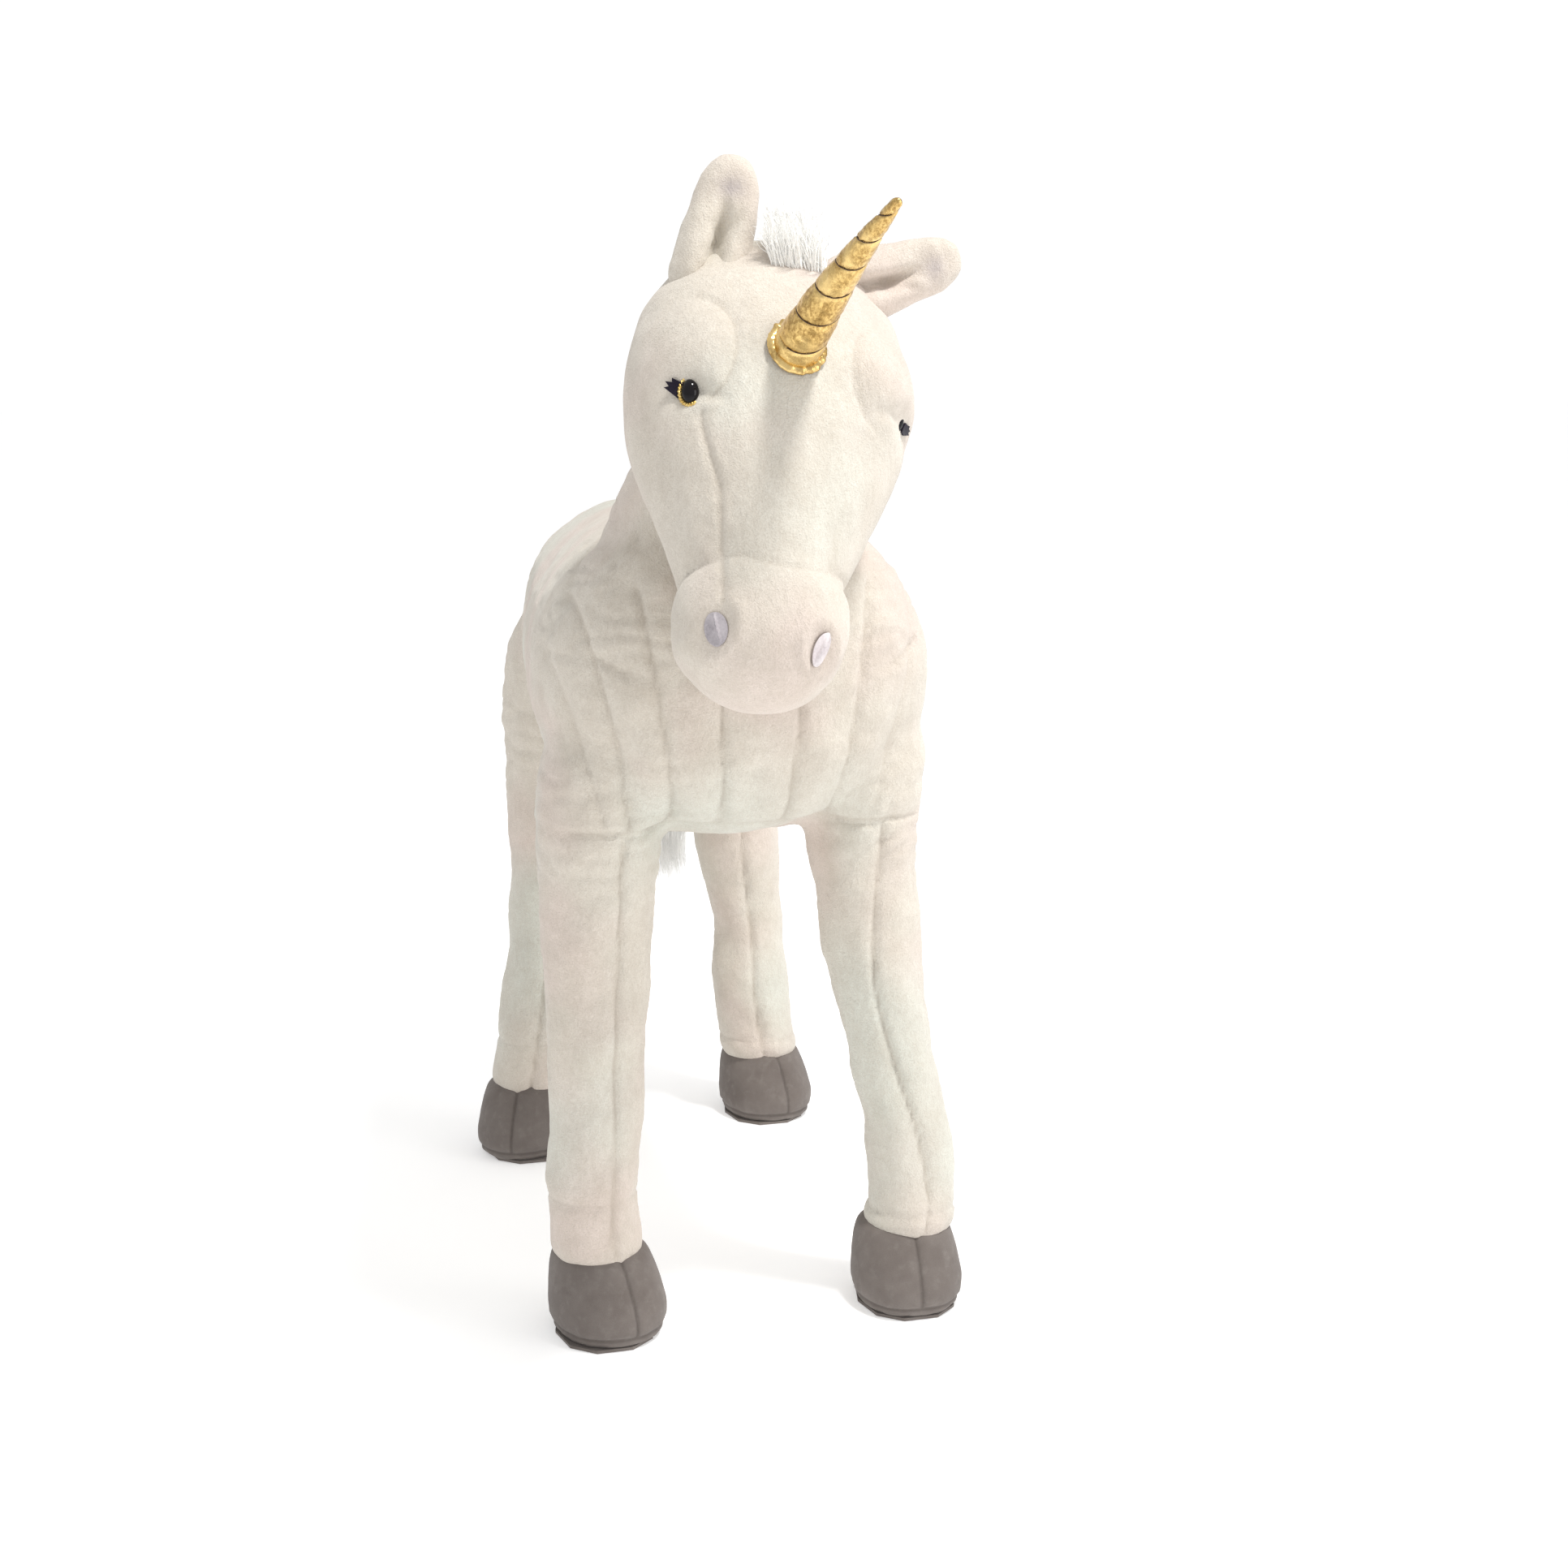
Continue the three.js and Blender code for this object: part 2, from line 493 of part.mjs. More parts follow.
// Eyes: a glossy dome on a shank that a washer locks inside, with a gold cord round it and a lash behind.
const EYE_PLACES = { [-1]: [90, 135], 1: [92, 33] }; // distance along the head, angle round it
const SHANK = 2.4;
const domeHeight = (share) => 1.4 + EYE_RADIUS * 0.6 * Math.sqrt(1 - share ** 2);
const DOME = [0, 0.4, 0.7, 0.9, 1].map((share) => [EYE_RADIUS * share, domeHeight(share)]);
const EYE_PROFILE = [...DOME, [EYE_RADIUS, 0], [SHANK, 0], [SHANK, -18], [0, -18]];
const WASHER_PROFILE = [[SHANK + 0.4, -14], [10, -14], [10, -12], [SHANK + 0.4, -12]];
const EYE_PIT = [[0, 30], [20, 30], [20, 1.5], [14, -GAP], [SHANK + 1, -GAP], [SHANK + 1, -11.5], [11, -11.5], [11, -18.5], [0, -18.5]];
const LASH = [[0, -3], [8, -5], [19, -3], [11, 0], [22, 4], [10, 4], [17, 9], [5, 7], [0, 5]];
for (const side of [-1, 1]) {
  const name = side < 0 ? "right" : "left";
  const spot = onHead(...EYE_PLACES[side], 4);
  add(spot, `${name}_eye`, turned(EYE_PROFILE), glossBlack);
  add(spot, `${name}_eye_washer`, solid(turned([...WASHER_PROFILE, WASHER_PROFILE[0]], 12)), plastic);
  const lid = new THREE.EllipseCurve(0, 0, EYE_RADIUS + 2.1, EYE_RADIUS + 2.1, -Math.PI * 1.05, Math.PI * 0.1);
  add(spot, `${name}_eye_trim`, rod(lid.getPoints(8).map(({ x, y }) => vec(x, y, 4)), 1.4, 12, 6), lame);
  const lash = new THREE.ExtrudeGeometry(new THREE.Shape(LASH.map(([x, y]) => new THREE.Vector2(side * x, y))), { depth: 1, bevelEnabled: false });
  add(spot, `${name}_eyelash`, lash.rotateZ(side * 0.6).translate(side * 10.5, 10.5, 7), felt);
  headCuts.push(inHead(spot, solid(turned(EYE_PIT, 8))));
}

// Nostrils: an oval of satin sewn into a dimple of the muzzle.
const NOSTRIL = [[0, -2], [8, -2], [9, 2.5], [7, 3], [4, 0], [0, -0.6]];
for (const side of [-1, 1]) {
  const spot = onHead(290, 90 - side * 38, 4);
  spot.scale.set(0.8, 1.1, 1);
  spot.updateMatrix();
  add(spot, side < 0 ? "right_nostril" : "left_nostril", turned(NOSTRIL, 14), satin);
  headCuts.push(inHead(spot, solid(turned([[0, -2.5], [9.6, -2.5], [10, 20], [0, 20]], 10))));
}

// Horn: a gold cone over stuffing, with a gathered rim at its foot and a thread wound round it.
const hornFoot = onHead(65, 90, 5);
const horn = frameAt(ORIGIN, hornFoot);
const hornWay = vec(...HORN_WAY).normalize().transformDirection(hornFoot.matrix.clone().invert());
horn.quaternion.setFromUnitVectors(UP, hornWay);
const hornRadius = (share) => 3 + (HORN_RADIUS - 3) * (1 - share ** 1.15);
const hornProfile = (inset) => [
  [0, HORN_LENGTH - inset],
  ...[0.985, 0.9, 0.7, 0.5, 0.3, 0.12, 0].map((share) => [hornRadius(share) - inset, share * (HORN_LENGTH - inset)]),
];
add(horn, "horn_cover", turned([...hornProfile(0), ...hornProfile(1.2).toReversed()]), lame);
add(horn, "horn_stuffing", turned([...hornProfile(1.6), [0, 0]]), fibre);
const foot = HORN_RADIUS + 2;
add(hornFoot, "horn_rim", turned([[foot, 1], [24, 1], [25, 4], [23, 7], [foot + 1, 8], [foot, 1]], 18), lame);
headCuts.push(inHead(hornFoot, solid(turned([[0, -4.4], [24, -4.4], [27, 0.2], [27, 30], [0, 30]], 12))));
const THREAD_POINTS = HORN_TURNS * 8;
const threadLine = Array.from({ length: THREAD_POINTS + 1 }, (_, i) => {
  const share = 0.1 + 0.84 * (i / THREAD_POINTS);
  const turn = (i / 8) * 2 * Math.PI;
  const reach = hornRadius(share) + 2.3;
  return vec(reach * Math.cos(turn), reach * Math.sin(turn), share * HORN_LENGTH);
});
add(horn, "horn_thread", rod(threadLine, 0.7, THREAD_POINTS, 4), thread);

// Ears: a cover folded round a lining. The right one stands and the left one lies outwards.
const EAR_ROWS = [[8, 21, 16], [30, 26, 18], [55, 29, 18], [80, 25, 15], [98, 16, 10], [EAR_LENGTH, 5, 4]];
const HOLLOW_ROWS = [[30, 7, 6], [52, 12, 8], [76, 10, 7], [92, 5, 4]];
const earRings = (grow) => EAR_ROWS.map(([up, half, deep]) => ring(vec(0, 0, up), UP, half + grow, deep + grow, 14));
const hollowRings = (inset) => HOLLOW_ROWS.map(([up, half, deep]) => ring(vec(0, -14, up), UP, half - inset, deep - inset, 10));
const earBody = solid(loft(earRings(0))).add(ball(EAR_BALL, ORIGIN, 14)).subtract(solid(loft(hollowRings(0))));
const liningBody = solid(loft(hollowRings(GAP))).intersect(solid(loft(earRings(-3))));
const EAR_ROOM = [[-22, 9, 9], [-8, 24, 24], [30, 30, 23], [60, 34, 23]];
const earRoom = solid(loft(EAR_ROOM.map(([up, half, deep]) => ring(vec(0, 0, up), UP, half, deep, 8))));
const ears = [
  { side: "right", at: [-56, -8, 77], lean: 0, swing: [-EAR_SWING, 8] },
  { side: "left", at: [51, -8, 90], lean: 64, swing: [-EAR_SWING, 8] },
];
for (const { side, at, lean, swing } of ears) {
  const ear = frameAt(vec(...at), head);
  ear.rotation.y = radians(lean);
  ear.updateMatrix();
  add(ear, `${side}_ear`, earBody, plush);
  add(ear, `${side}_ear_lining`, liningBody, lining);
  headCuts.push(inHead(ear, swept(earRoom, [0, swing[0], 0], [0, swing[1], 0])));
}

// The forelock stands on the crown between the ears.
const lockRows = [[1, 16, 12], [8, 24, 18], [24, 28, 22], [40, 22, 17], [52, 8, 6]];
const lock = onHead(-48, 90, 0);
add(lock, "forelock", loft(lockRows.map(([up, half, deep]) => ring(vec(3, 0, up), UP, half, deep, 12))), fur);

// The cover is sewn from a strip down the face, a cheek on either side and a muzzle.
const headCut = union(headCuts);
const seam = HEAD_ROWS.findIndex(([along]) => along === MUZZLE_SEAM);
const cup = (rows) => solid(loft([...headRings(rows, 0), ...headRings(rows, PILE).toReversed()])).subtract(headCut);
const skullCover = cup(HEAD_ROWS.slice(0, seam + 1));
const beyondSeam = HEAD_ROWS[seam].with(0, MUZZLE_SEAM + GAP);
const tilt = new THREE.Quaternion().setFromUnitVectors(UP, browWay);
const brow = (width, low) =>
  solid(new THREE.BoxGeometry(width, 900, 400).translate(0, 0, 200 + low).applyQuaternion(tilt).translate(...SKULL));
const cheek = (side) => block(400, 1200, 1200, vec(side * (200 + GAP / 2), 0, 0)).subtract(brow(2 * GUSSET + 2 * GAP, -GAP));
add(head, "face_gusset", skullCover.intersect(brow(2 * GUSSET, 0)), plush);
add(head, "cheek_right", skullCover.intersect(cheek(-1)), plush);
add(head, "cheek_left", skullCover.intersect(cheek(1)), plush);
add(head, "muzzle_cover", cup([beyondSeam, ...HEAD_ROWS.slice(seam + 1)].toReversed()), plush);
add(head, "head_stuffing", solid(loft(headRings(HEAD_ROWS.slice(1, -1), PILE + PLAY))).subtract(headCut), fibre);

// ---------------------------------------------------------------- origin
const box = new THREE.Box3().setFromObject(unicorn, true);
unicorn.position.set(-(box.min.x + box.max.x) / 2, -(box.min.y + box.max.y) / 2, -box.min.z);

export default unicorn;
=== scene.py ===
import json
import math
import random

import bpy
import numpy as np
from mathutils import Matrix, Vector, noise


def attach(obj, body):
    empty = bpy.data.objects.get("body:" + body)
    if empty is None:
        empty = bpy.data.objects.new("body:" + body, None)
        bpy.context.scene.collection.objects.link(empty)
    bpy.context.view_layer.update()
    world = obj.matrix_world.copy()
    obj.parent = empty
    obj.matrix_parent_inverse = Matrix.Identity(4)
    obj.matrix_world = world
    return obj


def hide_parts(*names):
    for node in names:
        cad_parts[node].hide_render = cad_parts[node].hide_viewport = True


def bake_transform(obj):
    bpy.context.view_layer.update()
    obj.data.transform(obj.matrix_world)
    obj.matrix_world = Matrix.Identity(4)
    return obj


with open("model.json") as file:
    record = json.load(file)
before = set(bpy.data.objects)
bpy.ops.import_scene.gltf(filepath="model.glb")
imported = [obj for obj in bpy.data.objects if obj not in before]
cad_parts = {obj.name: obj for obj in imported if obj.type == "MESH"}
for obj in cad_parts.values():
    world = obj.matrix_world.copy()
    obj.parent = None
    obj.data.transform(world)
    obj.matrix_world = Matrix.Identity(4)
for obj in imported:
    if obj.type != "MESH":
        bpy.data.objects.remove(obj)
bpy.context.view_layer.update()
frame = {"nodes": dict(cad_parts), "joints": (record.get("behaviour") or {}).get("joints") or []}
pivot = {joint["name"]: Vector(joint["pos_m"]) for joint in frame["joints"]}
ground = pivot["neck_turn"] - Vector((0, -0.166, 0.655))  # the floor point that the sizes below count from


# ------------------------------------------------------------------ body: trunk, neck and legs
# The trunk, the neck and the legs are one sewn skin of short-pile ivory plush, packed hard with fibre. It is
# made as tapering tubes merged into one skin, pressed in along its seams, then parted where it bends.
def ring(at, along, half, over, under=None, square=2.0, sides=40):
    along = Vector(along).normalized()
    across = (Vector((1, 0, 0)) - along * along.x).normalized()
    upward = along.cross(across).normalized()
    if upward.z < -1e-6 or (abs(upward.z) < 1e-6 and upward.y > 0):
        upward.negate()
    under = over if under is None else under
    points = []
    for i in range(sides):
        turn = 2 * math.pi * i / sides
        c, s = math.cos(turn), math.sin(turn)
        reach = half * math.copysign(abs(c) ** (2 / square), c)
        rise = (over if s > 0 else under) * math.copysign(abs(s) ** (2 / square), s)
        points.append(Vector(at) + across * reach + upward * rise)
    return points


def even(rows, count):
    """Rows of numbers, smoothly interpolated to a larger number of rows."""
    rows = np.array(rows, dtype=float)
    spans = np.linalg.norm(np.diff(rows[:, :3], axis=0), axis=1)
    at = np.concatenate([[0], np.cumsum(spans)])
    slopes = np.gradient(rows, at, axis=0)
    out = []
    for place in np.linspace(0, at[-1], count):
        i = min(max(np.searchsorted(at, place) - 1, 0), len(at) - 2)
        h = at[i + 1] - at[i]
        t = (place - at[i]) / h
        out.append(
            (2 * t**3 - 3 * t**2 + 1) * rows[i] + (t**3 - 2 * t**2 + t) * h * slopes[i]
            + (3 * t**2 - 2 * t**3) * rows[i + 1] + (t**3 - t**2) * h * slopes[i + 1]
        )
    return out


def loft(name, rings):
    sides = len(rings[0])
    points = [p for r in rings for p in r]
    faces = [list(range(sides)), [len(points) - 1 - j for j in range(sides)]]
    for i in range(len(rings) - 1):
        for j in range(sides):
            k = (j + 1) % sides
            faces.append([i * sides + j, (i + 1) * sides + j, (i + 1) * sides + k, i * sides + k])
    mesh = bpy.data.meshes.new(name)
    mesh.from_pydata(points, [], faces)
    made = bpy.data.objects.new(name, mesh)
    bpy.context.collection.objects.link(made)
    face_out(made)
    return made


def face_out(piece):
    choose(piece)
    bpy.ops.object.mode_set(mode="EDIT")
    bpy.ops.mesh.select_all(action="SELECT")
    bpy.ops.mesh.normals_make_consistent(inside=False)
    bpy.ops.object.mode_set(mode="OBJECT")


def choose(*objects):
    bpy.ops.object.select_all(action="DESELECT")
    for one in objects:
        one.select_set(True)
    bpy.context.view_layer.objects.active = objects[0]


def finish_with(piece, kind, **settings):
    choose(piece)
    modifier = piece.modifiers.new(kind.title(), kind)
    for key, value in settings.items():
        setattr(modifier, key, value)
    bpy.ops.object.modifier_apply(modifier=modifier.name)


def merged(name, solids, voxel, smoothing, swell=0.0, coarse=0.005):
    """One skin round the forms, filled with cloth pressure where it may swell."""
    choose(*solids)
    bpy.ops.object.join()
    skin = bpy.context.active_object
    skin.name = skin.data.name = name
    if swell:
        finish_with(skin, "REMESH", mode="VOXEL", voxel_size=coarse, adaptivity=0)
        finish_with(skin, "SMOOTH", factor=0.5, iterations=8)
        stuff(skin, swell)
    finish_with(skin, "REMESH", mode="VOXEL", voxel_size=voxel, adaptivity=0)
    finish_with(skin, "SMOOTH", factor=0.5, iterations=smoothing)
    return skin


START_SMALLER = 0.55  # how much smaller the skin starts, as a share of its most travel
FILL_STEPS = 20
PILE_ROOM = 0.0008  # the mean size ends this much over the pattern


def stuff(skin, swell):
    """Fills the skin by cloth pressure from a smaller start, with travel capped and the mean size kept."""
    cut, out = points_of(skin), normals_of(skin)
    move_out(skin, np.full(len(cut), -START_SMALLER * swell))
    choose(skin)
    cloth = skin.modifiers.new("Cloth", "CLOTH")
    cloth.settings.quality = 5
    cloth.settings.use_pressure = True
    cloth.settings.uniform_pressure_force = 4
    cloth.settings.tension_stiffness = cloth.settings.compression_stiffness = 8
    cloth.settings.shear_stiffness = 5
    cloth.settings.effector_weights.gravity = 0
    cloth.point_cache.frame_end = FILL_STEPS
    for moment in range(1, FILL_STEPS + 1):
        bpy.context.scene.frame_set(moment)
    bpy.ops.object.modifier_apply(modifier=cloth.name)
    travel = points_of(skin) - cut
    travel -= travel.mean(axis=0)
    travel += out * (PILE_ROOM - (travel * out).sum(axis=1).mean())
    far = np.linalg.norm(travel, axis=1)
    capped = cut + travel * np.minimum(1, swell / np.maximum(far, 1e-9))[:, None]
    put_points(skin, capped)
    bpy.context.scene.frame_set(1)


def points_of(piece):
    flat = np.empty(len(piece.data.vertices) * 3)
    piece.data.vertices.foreach_get("co", flat)
    return flat.reshape(-1, 3)


def put_points(piece, points):
    piece.data.vertices.foreach_set("co", points.ravel())
    piece.data.update()


def normals_of(piece):
    flat = np.empty(len(piece.data.vertices) * 3, dtype=np.float32)
    piece.data.vertex_normals.foreach_get("vector", flat)
    return flat.reshape(-1, 3).astype(float)


def move_out(piece, reach):
    """Moves each point along its normal by its own reach."""
    moved = points_of(piece) + normals_of(piece) * reach[:, None]
    put_points(piece, moved)


def grain(points, size, seed=0.0):
    """Smooth noise from -1 to 1 over points."""
    shift = Vector((seed * 7.3, seed * 3.1, seed * 5.7))
    return np.array([noise.noise(Vector(p) / size + shift) for p in points])


def bump(distance, width):
    return np.exp(-((distance / width) ** 2))


def stage_mask(value, low, high):
    """0 below low, 1 above high, smooth between."""
    t = np.clip((value - low) / (high - low), 0, 1)
    return t * t * (3 - 2 * t)


def window(value, low, high, soft):
    return stage_mask(value, low - soft, low + soft) * (1 - stage_mask(value, high - soft, high + soft))


def sew(piece, seams, depth=0.0034, width=0.0030, pull=0.0024, spread=0.015):
    """Presses the skin in along seams, each an array of distances, and keeps how near each point is."""
    near = np.zeros(len(piece.data.vertices))
    for distance, share in seams:
        near = np.maximum(near, bump(distance, width) * share)
    wide = np.zeros(len(near))
    for distance, share in seams:
        wide = np.maximum(wide, bump(distance, spread) * share)
    points = points_of(piece)
    pucker = grain(points, 0.009, 2.0) * 0.0011 * wide * (1 - near)
    move_out(piece, -depth * near - pull * wide + pucker)
    # Kept for the materials, which paint shade into the seam grooves with it.
    keep_on(piece, "seam", near)


def shade_all_smooth(piece):
    piece.data.polygons.foreach_set("use_smooth", np.ones(len(piece.data.polygons), dtype=bool))


def keep_on(piece, name, values):
    """Keeps a value for each point, for its material to read."""
    kept = piece.data.attributes.new(name, "FLOAT", "POINT")
    kept.data.foreach_set("value", np.asarray(values, dtype=np.float32))


def part_off(skin, name, mask):
    """A new piece from the faces in mask."""
    mesh = skin.data.copy()
    piece = bpy.data.objects.new(name, mesh)
    mesh.name = name
    bpy.context.collection.objects.link(piece)
    choose(piece)
    bpy.ops.object.mode_set(mode="EDIT")
    bpy.ops.mesh.select_mode(type="FACE")
    bpy.ops.mesh.select_all(action="DESELECT")
    bpy.ops.object.mode_set(mode="OBJECT")
    mesh.polygons.foreach_set("select", ~mask)
    bpy.ops.object.mode_set(mode="EDIT")
    bpy.ops.mesh.delete(type="FACE")
    bpy.ops.object.mode_set(mode="OBJECT")
    shade_all_smooth(piece)
    return piece


def face_middles(piece):
    flat = np.empty(len(piece.data.polygons) * 3)
    piece.data.polygons.foreach_get("center", flat)
    return flat.reshape(-1, 3)


# Rows are x, y, height of the middle, half width, half height over the middle, half height under it.
TRUNK = [
    (0.008, 0.362, 0.590, 0.016, 0.016, 0.016), (0.008, 0.352, 0.588, 0.066, 0.060, 0.064),
    (0.009, 0.325, 0.580, 0.104, 0.096, 0.098), (0.010, 0.280, 0.573, 0.124, 0.122, 0.118),
    (0.009, 0.215, 0.569, 0.134, 0.131, 0.126), (0.007, 0.110, 0.567, 0.147, 0.136, 0.130),
    (0.002, -0.020, 0.566, 0.159, 0.142, 0.131), (-0.002, -0.120, 0.567, 0.169, 0.146, 0.131),
    (-0.003, -0.190, 0.572, 0.170, 0.146, 0.131), (-0.003, -0.240, 0.580, 0.157, 0.136, 0.131),
    (-0.004, -0.275, 0.586, 0.129, 0.116, 0.121), (-0.005, -0.297, 0.590, 0.088, 0.080, 0.089),
    (-0.006, -0.305, 0.592, 0.030, 0.030, 0.034),
]
solids = []
rows = even(TRUNK, 46)
trunk_rings = [
    ring(ground + Vector(r[:3]), (0, 1, 0), r[3], r[4], r[5], 2.25 if r[1] < 0 else 2.1) for r in rows
]
solids.append(loft("trunk", trunk_rings))

# Rows are x, y, distance up the neck, radius.
neck_base, neck_top = pivot["neck_turn"], pivot["head_nod"]
neck_way = (neck_top - neck_base).normalized()
NECK = [
    (-0.115, 0.060), (-0.070, 0.108), (-0.020, 0.122), (0.020, 0.118), (0.055, 0.106), (0.100, 0.093),
    (0.150, 0.084), (0.185, 0.070), (0.200, 0.030),
]
solids.append(
    loft("neck", [ring(neck_base + neck_way * far, neck_way, radius, radius * 1.02) for far, radius in NECK])
)

# Rows are height, x, y of the leg's middle, half width, half depth.
LEGS = {
    "front_right": [
        (0.560, -0.108, -0.202, 0.034, 0.040), (0.520, -0.119, -0.203, 0.052, 0.060),
        (0.470, -0.125, -0.204, 0.055, 0.064), (0.400, -0.128, -0.205, 0.050, 0.054),
        (0.330, -0.130, -0.205, 0.045, 0.047), (0.250, -0.132, -0.206, 0.041, 0.043),
        (0.180, -0.134, -0.206, 0.0405, 0.042), (0.110, -0.136, -0.207, 0.040, 0.042),
        (0.078, -0.134, -0.207, 0.0425, 0.045), (0.066, -0.132, -0.206, 0.0425, 0.045),
        (0.062, -0.131, -0.206, 0.036, 0.038),
    ],
    "front_left": [
        (0.560, 0.104, -0.202, 0.034, 0.040), (0.520, 0.108, -0.204, 0.054, 0.060),
        (0.470, 0.107, -0.206, 0.053, 0.062), (0.420, 0.109, -0.208, 0.0455, 0.053),
        (0.310, 0.121, -0.210, 0.041, 0.045), (0.235, 0.136, -0.211, 0.036, 0.041),
        (0.160, 0.150, -0.213, 0.037, 0.040), (0.105, 0.1545, -0.214, 0.0385, 0.041),
        (0.080, 0.152, -0.214, 0.044, 0.045), (0.067, 0.149, -0.213, 0.0435, 0.045),
        (0.063, 0.148, -0.213, 0.036, 0.038),
    ],
    "hind_right": [
        (0.600, -0.068, 0.275, 0.034, 0.044), (0.540, -0.078, 0.282, 0.054, 0.070),
        (0.470, -0.082, 0.289, 0.056, 0.068), (0.400, -0.085, 0.288, 0.049, 0.056),
        (0.300, -0.091, 0.281, 0.043, 0.046), (0.210, -0.102, 0.273, 0.0385, 0.041),
        (0.160, -0.109, 0.268, 0.041, 0.043), (0.105, -0.119, 0.262, 0.042, 0.044),
        (0.078, -0.124, 0.259, 0.0435, 0.045), (0.066, -0.126, 0.258, 0.0425, 0.045),
        (0.062, -0.127, 0.258, 0.036, 0.038),
    ],
    "hind_left": [
        (0.600, 0.084, 0.275, 0.034, 0.044), (0.540, 0.101, 0.281, 0.056, 0.072),
        (0.470, 0.111, 0.289, 0.057, 0.070), (0.400, 0.114, 0.292, 0.050, 0.058),
        (0.310, 0.117, 0.294, 0.045, 0.046), (0.215, 0.130, 0.298, 0.036, 0.040),
        (0.160, 0.131, 0.300, 0.0415, 0.044), (0.105, 0.138, 0.303, 0.042, 0.044),
        (0.078, 0.143, 0.304, 0.0445, 0.046), (0.067, 0.145, 0.305, 0.0435, 0.045),
        (0.063, 0.146, 0.305, 0.036, 0.038),
    ],
}


def leg_line(leg, height, column):
    """A leg's x, y or half sizes at heights, by column of its rows."""
    rows = np.array(LEGS[leg])[::-1]
    return np.interp(height, rows[:, 0], rows[:, column])


for leg, rows in LEGS.items():
    smooth = even([(z, x, y, half, deep) for z, x, y, half, deep in rows], 40)
    solids.append(
        loft(leg, [ring(ground + Vector((x, y, z)), (0, 0, 1), half, deep) for z, x, y, half, deep in smooth])
    )

body = merged("body", solids, 0.0042, 14, swell=0.008, coarse=0.006)
P = points_of(body) - np.array(ground)
seams = []
# The chest is sewn from upright strips, with a dart on either side of each.
chest = window(P[:, 2], 0.452, 0.665, 0.006) * stage_mask(-P[:, 1], 0.185, 0.205)
for x, share in (
    (0.026, 1), (-0.040, 1), (-0.088, 0.9), (0.076, 0.8), (-0.128, 0.9), (0.120, 0.55), (-0.155, 0.6)
):
    lean = x * 0.18 * (P[:, 2] - 0.55) / 0.1
    seams.append((np.abs(P[:, 0] - x - lean), chest * share))
under_chest = stage_mask(-P[:, 1], 0.150, 0.190) * (1 - stage_mask(np.abs(P[:, 0] + 0.008), 0.150, 0.165))
seams.append((np.abs(P[:, 2] - 0.455), under_chest * (1 - stage_mask(-P[:, 1], 0.285, 0.295)) * 0.7))
# A seam runs along the back, one along each side, and a strip goes under the belly.
seams.append((np.abs(P[:, 0]), stage_mask(P[:, 2], 0.62, 0.64) * stage_mask(P[:, 1], -0.10, -0.06)))
belly = (1 - stage_mask(P[:, 2], 0.50, 0.52)) * stage_mask(P[:, 2], 0.42, 0.425)
seams.append(
    (np.abs(np.abs(P[:, 0]) - 0.055), belly * window(P[:, 1], -0.15, 0.30, 0.02) * (np.abs(P[:, 0]) < 0.075))
)
# Each leg has a seam down its front and its back, and a cuff.
for leg in LEGS:
    x, y = leg_line(leg, P[:, 2], 1), leg_line(leg, P[:, 2], 2)
    near = np.hypot(P[:, 0] - x, P[:, 1] - y) < 0.075
    low = (1 - stage_mask(P[:, 2], 0.445, 0.460)) * near
    swing = 0.010 if leg == "front_left" else 0.0
    middle = x + swing * np.sin(P[:, 2] * 16) + (0.012 if leg == "front_right" else -0.004)
    seams.append((np.abs(P[:, 0] - middle), low * (P[:, 1] < y) * stage_mask(P[:, 2], 0.066, 0.074)))
    seams.append((np.abs(P[:, 0] - x), low * (P[:, 1] > y) * stage_mask(P[:, 2], 0.066, 0.074) * 0.8))
    cuff = {"front_right": 0.125, "front_left": 0.088, "hind_right": 0.120, "hind_left": 0.090}[leg]
    seams.append((np.abs(P[:, 2] - cuff), near * 0.55))
# The neck is sewn on in a ring.
up_neck = (P - np.array(neck_base - ground)) @ np.array(neck_way)
seams.append((np.abs(up_neck - 0.010), stage_mask(P[:, 2], 0.58, 0.60) * (np.abs(P[:, 0]) < 0.14) * 0.8))
for (x0, y0, z0), (x1, y1, z1), share in (
    ((-0.140, -0.215, 0.728), (-0.098, -0.268, 0.640), 0.8),
    ((-0.120, -0.180, 0.765), (-0.085, -0.262, 0.668), 0.7),
    ((0.150, -0.200, 0.520), (0.110, -0.285, 0.560), 0.4),
):
    start, way = np.array((x0, y0, z0)), np.array((x1 - x0, y1 - y0, z1 - z0))
    reach = np.clip((P - start) @ way / (way @ way), 0, 1)
    seams.append(
        (np.linalg.norm(P - start - reach[:, None] * way, axis=1) * 0.9, np.full(len(P), share * 0.8))
    )
sew(body, seams)
move_out(body, -0.0045 * bump(np.linalg.norm(P - np.array((-0.010, -0.300, 0.508)), axis=1), 0.008))
P = points_of(body) - np.array(ground)
# Where the filling gives, the skin wrinkles: above the legs, round the foot of the neck and down the shins.
slack = bump(
    P[:, 2] - 0.455, 0.045
) * (np.abs(P[:, 0]) > 0.07) + bump(up_neck - 0.010, 0.055) * (P[:, 2] > 0.60) + 0.35
lines = 1 - np.abs(grain(P * np.array([1.0, 1.0, 2.4]), 0.040, 4.0)) * 3.2
lumps = grain(P, 0.050, 1.0) * 0.0030 * (1 + 0.5 * (P[:, 2] < 0.42))
move_out(body, lumps + grain(P, 0.022, 3.0) * 0.0008 - np.clip(lines, 0, 1) * 0.0019 * np.clip(slack, 0, 1))

